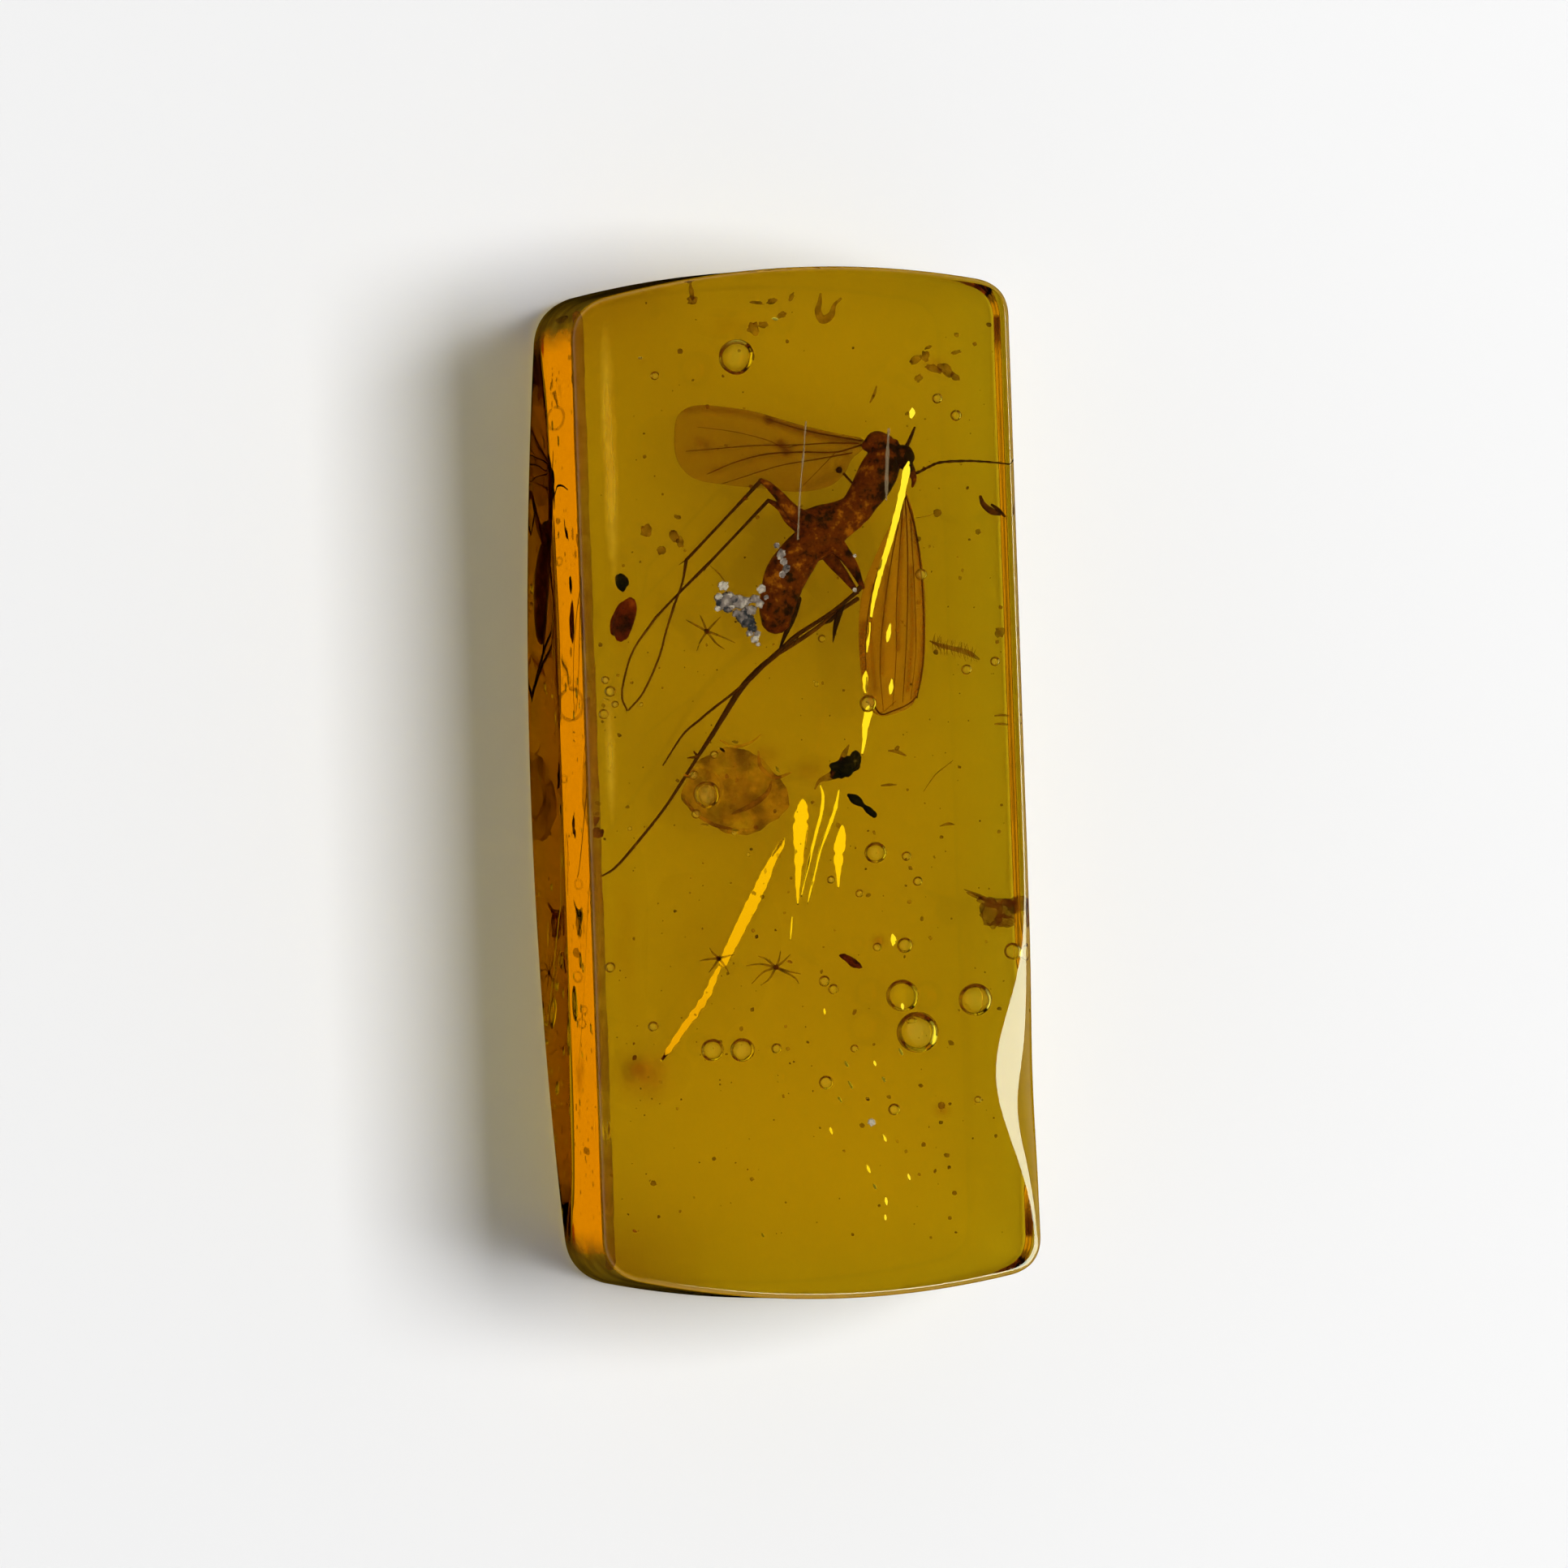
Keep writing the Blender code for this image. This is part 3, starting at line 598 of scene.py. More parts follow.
@dataclass(frozen=True)
class Studio:
    """Pale floor that curves up to a low wall far off, soft lights and a dim sky.

    The floor gives nothing back to light that reached it through the amber after a bounce, so the
    amber's shade on it is a plain grey.
    """

    floor_radius: float = 900.0
    wall_height: float = 330.0
    bend: float = 200.0
    floor_drop: float = 0.02
    horizon: float = 0.95
    zenith: float = 0.02
    paint: tuple[float, float, float] = (0.86, 0.86, 0.862)

    def make_floor(self) -> None:
        """A turned surface: flat out to the bend, a quarter circle, then a wall."""
        quarter = np.linspace(0, math.pi / 2, 13)
        radii = np.concatenate([[1.0, 40.0, 160.0, 400.0], self.floor_radius + self.bend * np.sin(quarter),
                                [self.floor_radius + self.bend]])
        heights = np.concatenate([np.zeros(4), self.bend * (1 - np.cos(quarter)), [self.wall_height]])
        turn = np.linspace(0, 2 * math.pi, 96, endpoint=False)
        rings = np.stack([radii[:, None] * np.cos(turn), radii[:, None] * np.sin(turn),
                          np.repeat(heights[:, None], len(turn), axis=1) - self.floor_drop], axis=-1)
        points = np.vstack([rings.reshape(-1, 3), [[0, 0, -self.floor_drop]]]) * MM
        quads = lattice(*rings.shape[:2])[:, ::-1].tolist()
        centre = len(points) - 1
        hub = [(centre, (i + 1) % 96, i) for i in range(96)]
        mesh = bpy.data.meshes.new("floor")
        mesh.from_pydata(points.tolist(), [], quads + [face[::-1] for face in hub])
        mesh.shade_smooth()
        sketch = Sketch("floor_paint")
        bounced = sketch.node("ShaderNodeLightPath", output="Diffuse Depth").between(0.4, 0.6)
        crossed = sketch.node("ShaderNodeLightPath", output="Transmission Depth").between(1.4, 1.6)
        sketch.set(Base_Color=sketch.blend(bounced * crossed, self.paint, (0.0, 0.0, 0.0)), Roughness=0.9,
                   Specular_IOR_Level=0.1)
        mesh.materials.append(sketch.material)
        floor = bpy.data.objects.new("floor", mesh)
        floor.visible_glossy = False
        bpy.context.scene.collection.objects.link(floor)

    def make_sky(self) -> None:
        """A grey sky, pale at the horizon and dark overhead, so that no flat face mirrors it."""
        world = bpy.data.worlds.new("sky")
        world.use_nodes = True
        tree = world.node_tree
        direction = tree.nodes.new("ShaderNodeTexCoord")
        split = tree.nodes.new("ShaderNodeSeparateXYZ")
        fades = []
        tree.links.new(direction.outputs["Generated"], split.inputs["Vector"])
        for low, high, start, end in ((0.0, 1.0, self.horizon, self.zenith), (-0.04, 0.0, 0.0, 1.0)):
            fade = tree.nodes.new("ShaderNodeMapRange")
            fade.interpolation_type = "SMOOTHSTEP"
            for name, value in (("From Min", low), ("From Max", high), ("To Min", start), ("To Max", end)):
                fade.inputs[name].default_value = value
            tree.links.new(split.outputs["Z"], fade.inputs["Value"])
            fades.append(fade)
        both = tree.nodes.new("ShaderNodeMath")
        both.operation = "MULTIPLY"
        for number, fade in enumerate(fades):
            tree.links.new(fade.outputs["Result"], both.inputs[number])
        tree.links.new(both.outputs["Value"], tree.nodes["Background"].inputs["Strength"])
        tree.nodes["Background"].inputs["Color"].default_value = (1.0, 1.0, 1.0, 1.0)
        bpy.context.scene.world = world

    def make(self) -> None:
        """Make the floor, the sky and the lights, and show colours as they are."""
        self.make_floor()
        self.make_sky()
        bpy.context.scene.view_settings.view_transform = "Standard"
        for softbox in (
            Softbox("key_light", azimuth=2, elevation=63, distance=600, width=280, height=280, radiance=14.1,
                    mirrored=False, through=False),
            Softbox("window_light", azimuth=-28.5, elevation=50, distance=600, width=380, height=560,
                    radiance=12.0, colour=(0.93, 1.0, 0.80), on_surfaces=False, through=False),
            Softbox("body_light", azimuth=180, elevation=80, distance=150, width=240, height=240, radiance=1.22,
                    on_surfaces=False, mirrored=False),
            Softbox("streak_light", azimuth=-18, elevation=7, distance=250, width=540, height=76, radiance=1.35,
                    colour=(1.0, 0.87, 0.5), on_surfaces=False, mirrored=False),
            Softbox("edge_light", azimuth=0, elevation=66, distance=400, width=160, height=120, radiance=0.95,
                    colour=(1.0, 0.15, 0.05), on_surfaces=False, mirrored=False),
            Softbox("rim_light", azimuth=180, elevation=24, distance=250, width=320, height=110, radiance=1.0,
                    colour=(1.0, 0.86, 0.7), on_surfaces=False, mirrored=False),
        ):
            softbox.make()


# ---------------------------------------------------------------- hollows in the stone

@dataclass
class Hollows:
    """Bubbles and bright fissures: air in the stone, so their faces point inward in its mesh.

    Bubbles are (across, down, radius, depth), and fissures are routes of (across, down, half width),
    with frame places, and the rest in millimetres.
    """

    view: Viewpoint
    flattening: float = 0.42
    gap: float = 0.016
    widening: float = 1.3
    sight: tuple[float, float, float] = (0.124, 0.0, -0.992)
    bubbles: tuple[tuple[float, float, float, float], ...] = (
        (1079, 1051, 0.28, 2.2), (1117, 1055, 0.12, 2.2), (1024, 1084, 0.10, 1.6), (1059, 1101, 0.10, 2.2),
        (1131, 1086, 0.12, 2.2), (1115, 1165, 0.20, 2.2), (1081, 1167, 0.11, 2.2), (1112, 1227, 0.42, 3.6),
        (1131, 1272, 0.54, 1.9), (1202, 1232, 0.43, 2.2), (878, 1294, 0.29, 2.2), (915, 1294, 0.31, 2.0),
        (957, 1292, 0.13, 2.2), (1053, 1292, 0.10, 2.2), (1016, 1209, 0.14, 2.2), (1027, 1219, 0.13, 2.6),
        (1248, 1172, 0.22, 2.4), (752, 1192, 0.13, 2.2), (805, 1265, 0.13, 2.2), (1018, 1334, 0.18, 2.2),
        (1102, 1367, 0.15, 2.2), (1135, 708, 0.15, 1.8), (1226, 815, 0.12, 2.2), (1191, 825, 0.13, 2.4),
        (908, 440, 0.46, 2.4), (1155, 491, 0.13, 2.2), (1178, 512, 0.14, 2.6), (871, 979, 0.34, 1.9),
        (880, 930, 0.10, 1.9), (905, 1026, 0.08, 1.8), (858, 1003, 0.12, 1.9), (855, 955, 0.12, 1.7),
        (807, 463, 0.11, 2.2), (803, 463, 0.05, 1.4), (776, 1021, 0.06, 2.2), (735, 1243, 0.12, 2.4),
        (1070, 867, 0.22, 1.7), (922, 1053, 0.06, 2.2), (730, 1262, 0.10, 3.0), (1205, 1355, 0.09, 2.4),
        (746, 838, 0.10, 1.6), (752, 852, 0.14, 1.9), (758, 868, 0.09, 1.6), (744, 880, 0.13, 2.3),
        (790, 868, 0.06, 1.8), (1013, 787, 0.10, 2.6), (1006, 843, 0.07, 2.4), (1003, 840, 0.04, 2.0))
    fissures: tuple[tuple[float, tuple[tuple[float, float, float], ...]], ...] = (
        (2.0, ((1124, 502, 0.02), (1124, 508, 0.085), (1122, 516, 0.03))),
        (1.95, ((1120, 568, 0.02), (1117, 580, 0.10), (1111, 610, 0.10), (1101, 650, 0.085), (1094, 675, 0.08),
                (1088, 694, 0.075), (1081, 720, 0.07), (1076, 742, 0.06), (1073, 762, 0.03))),
        (2.0, ((1072, 766, 0.02), (1070, 785, 0.05), (1068, 805, 0.02))),
        (1.9, ((1097, 768, 0.02), (1095, 780, 0.07), (1093, 792, 0.02))),
        (2.1, ((1067, 826, 0.02), (1066, 840, 0.09), (1067, 855, 0.03))),
        (2.1, ((1099, 836, 0.02), (1098, 846, 0.07), (1097, 856, 0.02))),
        (2.0, ((1071, 870, 0.02), (1070, 878, 0.12), (1066, 896, 0.09), (1065, 912, 0.06), (1062, 930, 0.03))),
        (4.5, ((967, 1032, 0.02), (962, 1042, 0.10), (950, 1064, 0.11), (933, 1101, 0.18), (912, 1143, 0.16),
               (892, 1184, 0.13), (888, 1191, 0.04))),
        (4.5, ((889, 1187, 0.03), (880, 1205, 0.09), (871, 1226, 0.11), (858, 1246, 0.11), (843, 1266, 0.10),
               (828, 1288, 0.09), (814, 1308, 0.03))),
        (4.1, ((989, 984, 0.02), (989, 992, 0.13), (987, 1008, 0.19), (986, 1025, 0.20), (985, 1045, 0.15),
               (984, 1067, 0.11), (983, 1090, 0.07), (983, 1115, 0.02))),
        (3.1, ((1010, 966, 0.02), (1014, 980, 0.045), (1012, 1002, 0.05), (1006, 1025, 0.045),
               (996, 1066, 0.04), (987, 1106, 0.015))),
        (3.2, ((1034, 972, 0.02), (1029, 997, 0.05), (1021, 1020, 0.05), (1011, 1046, 0.045),
               (1002, 1083, 0.04), (995, 1114, 0.015))),
        (4.3, ((1038, 1016, 0.02), (1037, 1028, 0.12), (1034, 1046, 0.16), (1033, 1062, 0.12),
               (1033, 1080, 0.06), (1033, 1094, 0.02))),
        (2.2, ((976, 1128, 0.015), (975, 1145, 0.03), (974, 1158, 0.015))),
        (2.4, ((1099, 1150, 0.02), (1101, 1158, 0.08), (1100, 1166, 0.02))),
        (1.0, ((750, 1380, 0.02), (750, 1394, 0.06), (749, 1406, 0.02))))
    flecks: tuple[tuple[float, float, float, float], ...] = (
        (1043, 1311, 9, 60), (1078, 1310, 8, 70), (1089, 1330, 8, 60), (1048, 1337, 12, 60), (1035, 1355, 9, 60),
        (1069, 1354, 6, 30), (1024, 1393, 10, 70), (1090, 1402, 11, 65), (1070, 1440, 12, 65),
        (1078, 1462, 8, 60), (1092, 1480, 11, 80), (1091, 1500, 8, 85), (1120, 1450, 9, 70), (1110, 1296, 10, 60),
        (1016, 1246, 8, 80), (940, 1522, 6, 60), (782, 1517, 6, 20), (955, 393, 8, 10), (789, 441, 6, 0),
        (1112, 1240, 9, 80), (973, 1185, 8, 20), (846, 956, 10, 30), (868, 1016, 10, 10),
        (906, 1023, 9, 0), (890, 924, 9, 40),
        (906, 914, 9, 10), (958, 948, 9, 60), (726, 838, 9, 40), (748, 862, 9, 20), (735, 1262, 8, 70))

    def add_bubbles(self, sheaf: Sheaf) -> None:
        """Flattened uneven balls of air."""
        for number, (across, down, radius, depth) in enumerate(self.bubbles):
            centre = self.view.pinned(across, down, depth)
            rings = nugget_rings(centre, (radius, radius * 0.94, radius * self.flattening), 17.0 * number, 0.05,
                                 300 + number, 2.2, 22, 30 if radius > 0.2 else 18)
            sheaf.wrap(rings, inward=True)

    def add_sheet(self, sheaf: Sheaf, depth: float, route: np.ndarray, columns: int, seed: int) -> None:
        """Add a thin sheet of air that throws the sight ray out through the right side.

        Its normal is halfway between the way out and back along the sight ray, squared with the
        route; the front side is nearly flat, and the back bulges by the gap. The sheet rocks a few
        degrees along its length.
        """
        places = self.view.pinned(route[:, 0], route[:, 1], np.full(len(route), depth))
        run = np.gradient(places, axis=0)
        run /= np.linalg.norm(run, axis=1)[:, None]
        out = np.column_stack([run[:, 1], -run[:, 0], np.zeros(len(run))])
        out *= np.sign(out[:, :1])
        out[:, 2] = 0.08
        normal = out - np.array(self.sight)
        normal -= (normal * run).sum(axis=1)[:, None] * run
        normal /= np.linalg.norm(normal, axis=1)[:, None]
        across = np.cross(normal, run)
        rock = np.radians(0.5) * lumps(places[:, :2], seed, 0.7, 2)[:, None]
        normal, across = (normal * np.cos(rock) + across * np.sin(rock),
                          across * np.cos(rock) - normal * np.sin(rock))
        turn = np.linspace(0, 2 * math.pi, columns, endpoint=False)
        width = route[:, 2:3] * (1 + 0.18 * lumps(places[:, :2] * 1.7, seed + 1, 0.5, 2)[:, None])
        bulge = self.gap * (0.06 * np.clip(np.sin(turn), 0, 1) - np.clip(-np.sin(turn), 0, 1))
        rings = (places[:, None] + (width * np.cos(turn))[..., None] * across[:, None]
                 + bulge[None, :, None] * normal[:, None])
        points, faces = closed_rings(rings)
        outward = np.cross(across[0], normal[0]) @ run[0] > 0
        sheaf.add(points, faces, inward=outward)

    def add_fissures(self, sheaf: Sheaf) -> None:
        """The long bright sheets, and short flecks of the same kind."""
        for number, (depth, route) in enumerate(self.fissures):
            widened = smooth_route(route, 8) * np.array([1, 1, self.widening])
            self.add_sheet(sheaf, depth, widened, 20, 500 + number)
        for number, (across, down, length, heading) in enumerate(self.flecks):
            turn = math.radians(heading)
            way = np.array([math.cos(turn), math.sin(turn)]) * length / 2
            centre = np.array([across, down])
            route = np.vstack([np.append(centre + way * share, width)
                               for share, width in ((-1, 0.01), (-0.4, 0.05), (0.4, 0.05), (1, 0.01))])
            self.add_sheet(sheaf, 1.2 + 0.11 * (number % 9), smooth_route(route, 4), 12, 600 + number)

    def make_painted_bubble_rings(self) -> None:
        """Painted shade: a dark brown ring round each bubble, where its rim turns light away, as an arc that thins
        out at its lower right.
        """
        sheaf = Sheaf()
        for number, (across, down, radius, depth) in enumerate(self.bubbles):
            if radius < 0.09:
                continue
            centre = self.view.pinned(across, down, depth - 0.3 * radius * self.flattening)
            sweep = np.radians(np.linspace(-10 - 9 * (number % 4), 262 + 14 * (number % 3), 30))
            thickness = (0.012 + 0.075 * radius) * np.sin(np.linspace(0.25, math.pi - 0.25, 30)) ** 0.6
            reach = radius * 0.93
            arc = np.column_stack([centre[0] + reach * np.cos(sweep), centre[1] + reach * 0.95 * np.sin(sweep),
                                   np.full(30, centre[2]), thickness])
            sheaf.wrap(tube_rings(arc, 8), 0.30 + 0.05 * (number % 4))
        sheaf.piece("bubble_painted_shade_rings", FAINT_DEBRIS_AND_PAINTED_RINGS.make())


# ---------------------------------------------------------------- the stone

@dataclass(frozen=True)
class AmberFinish:
    """Clear golden amber: a plain refracting skin over a body that absorbs blue, then green."""

    index: float = AMBER_INDEX
    roughness: float = 0.0
    absorbed_per_metre: tuple[float, float, float] = (38.0, 84.0, 700.0)

    def make(self) -> bpy.types.Material:
        """The material. Absorption per metre is density times one less the colour."""
        sketch = Sketch("clear_amber")
        sketch.set(Base_Color=(1.0, 1.0, 1.0), Roughness=self.roughness, IOR=self.index, Transmission_Weight=1.0)
        density = max(self.absorbed_per_metre)
        colour = tuple(1 - value / density for value in self.absorbed_per_metre)
        body = sketch.node("ShaderNodeVolumeAbsorption", None, {"Color": colour, "Density": density})
        sketch.feed(sketch.output.inputs["Volume"], body)
        return sketch.material


@dataclass
class Stone:
    """The slab: a loft of outlines with rounded edges, and the hollows in it.

    A rounding is a pair: an edge's inset across the face, and its drop down the wall.
    """

    length: float = 26.0
    thickness: float = 6.8
    right_x: float = 5.85
    left_x: float = -5.38
    end_radius: float = 22.0
    end_centre_x: float = 0.85
    right_corner_reach: float = 0.80
    left_corner_reach: float = 0.90
    right_spread: float = 0.60
    end_spread: float = 0.30
    knee_height: float = 2.6
    flare_middle: float = 0.37
    flare_ends: float = -0.25
    foot_rounding: tuple[float, float] = (0.25, 0.25)
    front_rounding: tuple[float, float] = (0.14, 0.14)
    right_rounding: tuple[float, float] = (0.12, 0.12)
    swell_rounding: tuple[float, float] = (1.10, 0.40)
    swell_y: float = -7.6
    swell_reach: float = 2.35
    rounding_rings: int = 16

    def end_y(self, x: Any, spread: float) -> Any:
        """Y of the rounded end at x: a shallow parabola, nearly an arc, moved out by a share of the
        ends' spread."""
        return self.length / 2 + spread * self.end_spread - (x - self.end_centre_x) ** 2 / (2 * self.end_radius)

    def left_at(self, y: Any, flare: float) -> Any:
        """X of the left side at y: straight with no flare, and bowed at the foot, where flare is 1."""
        bow = 1 - (2 * y / self.length) ** 2
        return self.left_x - flare * (self.flare_ends + (self.flare_middle - self.flare_ends) * bow)

    @staticmethod
    def corner(start: Sequence[float], pull: Sequence[float], end: Sequence[float], steps: int) -> np.ndarray:
        """A rounded corner: (1-t)^2 start + 2t(1-t) pull + t^2 end."""
        t = np.linspace(0, 1, steps + 1)[:, None]
        return (1 - t) ** 2 * np.array(start) + 2 * t * (1 - t) * np.array(pull) + t ** 2 * np.array(end)

    def outline(self, height: float) -> np.ndarray:
        """The outline at a height, counter-clockwise from the lower right, as rows of (x, y)."""
        spread, flare = 1 - height / self.thickness, max(0.0, 1 - height / self.knee_height)
        right = self.right_x + spread * self.right_spread
        right_tip, left_tip = self.end_y(right, spread), self.end_y(self.left_x, spread)
        right_y, left_y = right_tip - self.right_corner_reach, left_tip - self.left_corner_reach
        left, near = self.left_at(left_tip, flare), right - self.right_corner_reach
        far = left + self.left_corner_reach
        rise = np.linspace(-right_y, right_y, 97)[1:-1]
        right_side = np.column_stack([np.full_like(rise, right), rise])
        upper_right = self.corner((right, right_y), (right, right_tip), (near, self.end_y(near, spread)), 16)
        across = np.linspace(near, far, 49)[1:-1]
        upper_left = self.corner((far, self.end_y(far, spread)), (left, left_tip),
                                 (self.left_at(left_y, flare), left_y), 16)
        fall = np.linspace(left_y, 0, 49)[1:]
        upper_half = np.vstack([upper_right, np.column_stack([across, self.end_y(across, spread)]), upper_left,
                                np.column_stack([self.left_at(fall, flare), fall])])
        return np.vstack([right_side, upper_half, upper_half[-2::-1] * np.array([1, -1])])

    def rounded_rings(self, upper: bool) -> np.ndarray:
        """Rings of a rounded edge, from the side wall to the flat face.

        At angle a, a ring lies inside the outline by the inset times (1 - cos a), and short of the
        flat face by the drop times (1 - sin a).
        """
        plan = self.outline(self.thickness if upper else 0.0)
        run = np.roll(plan, -1, axis=0) - np.roll(plan, 1, axis=0)
        normal = np.column_stack([run[:, 1], -run[:, 0]]) / np.linalg.norm(run, axis=1)[:, None]
        facing_right = (np.clip(normal[:, 0], 0, 1) ** 2)[:, None]
        swell = np.exp(-((plan[:, 1] - self.swell_y) / self.swell_reach) ** 2)[:, None]
        front, usual, swollen = (np.array(pair) for pair in (self.front_rounding, self.right_rounding,
                                                             self.swell_rounding))
        right = usual + (swollen - usual) * swell
        rounding = front + (right - front) * facing_right if upper else np.tile(self.foot_rounding, (len(plan), 1))
        angle = np.radians(np.linspace(0, 90, self.rounding_rings))[:, None]
        inset = rounding[:, 0] * (1 - np.cos(angle))
        drop = rounding[:, 1] * (1 - np.sin(angle))
        height = self.thickness - drop if upper else drop
        flat = plan - normal * inset[..., None]
        return np.concatenate([flat, height[..., None]], axis=-1)

    def shell(self) -> np.ndarray:
        """Rings of the outer skin: the foot's rounding, the flared foot, the upright wall, the front's rounding
        and two flat faces."""
        foot, front = self.rounded_rings(False)[::-1], self.rounded_rings(True)
        plan = self.outline(self.knee_height)
        knee = np.column_stack([plan, np.full(len(plan), self.knee_height)])
        share = np.linspace(0, 1, 9)[1:-1, None, None]
        wall = np.concatenate([foot[-1] + (knee - foot[-1]) * share, knee[None],
                               knee + (front[0] - knee) * share])
        inner = np.array([0.985, 0.995, 1.0])
        rings = np.concatenate([foot[:1] * inner, foot, wall, front, front[-1:] * inner])
        return rings

    def make(self, hollows: "Hollows") -> bpy.types.Object:
        """The clear stone with its hollows as one piece, in place of both CAD halves."""
        sheaf = Sheaf()
        sheaf.wrap(self.shell())
        hollows.add_bubbles(sheaf)
        hollows.add_fissures(sheaf)
        stone = sheaf.piece("amber_stone", AmberFinish().make())
        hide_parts("amber_front", "amber_back")
        return stone


@dataclass(frozen=True)
class PaintedLightAndCloudFilm:
    """A see-through film, for painted light and shade at the rim and edge and for brown clouds in the body: tone is
    its cover, broken by streaks of noise drawn out along the slab.
    """

    name: str
    brown: tuple[float, float, float]
    orange: tuple[float, float, float]
    streak: tuple[float, float, float]
    cover: float

    def make(self) -> bpy.types.Material:
        """The material; streak gives the noise's size along x, y and z in millimetres."""
        sketch = Sketch(self.name)
        drawn = sketch.node("ShaderNodeMapping", None,
                            {"Vector": sketch.place(), "Scale": tuple(1 / (size * MM) for size in self.streak)})
        coarse = sketch.node("ShaderNodeTexNoise", None, {"Vector": drawn, "Scale": 1.0, "Detail": 3.0}, "Fac")
        fine = sketch.noise(0.5, 3.0, 0.6)
        share = coarse.between(0.32, 0.68)
        sketch.set(Base_Color=sketch.blend(share, self.brown, self.orange), Roughness=0.5,
                   Specular_IOR_Level=0.0,
                   Alpha=sketch.attribute("tone") * self.cover * (fine * 0.8 + share * 0.7 + 0.25))
        return sketch.material


# Painted light and shade seen through the left wall: its orange is painted light, its brown painted shade
RIM_PAINTED_LIGHT_AND_SHADE = PaintedLightAndCloudFilm("rim_painted_light_and_shade", (0.44, 0.08, 0.004), (0.95, 0.26, 0.012), (0.7, 2.6, 1.6), 1.0)
# Painted light: a yellow film that makes the corners of the left wall look lit
CORNER_PAINTED_LIGHT = PaintedLightAndCloudFilm("corner_painted_light", (0.72, 0.42, 0.02), (1.0, 0.66, 0.05), (1.6, 1.6, 1.6), 1.0)
# Painted shade: the dark band under the front face's left edge
PAINTED_RIM_SHADE = PaintedLightAndCloudFilm("rim_painted_shade", (0.16, 0.045, 0.003), (0.34, 0.10, 0.006), (0.5, 3.0, 0.5), 1.0)
# Painted light: the golden glow along the upper left edge
PAINTED_EDGE_GLOW = PaintedLightAndCloudFilm("edge_painted_glow", (0.95, 0.52, 0.03), (1.0, 0.64, 0.05), (0.8, 2.4, 0.8), 1.0)
BODY_CLOUD = PaintedLightAndCloudFilm("body_brown_cloud", (0.42, 0.075, 0.003), (0.62, 0.15, 0.006), (0.8, 1.6, 0.8), 0.6)


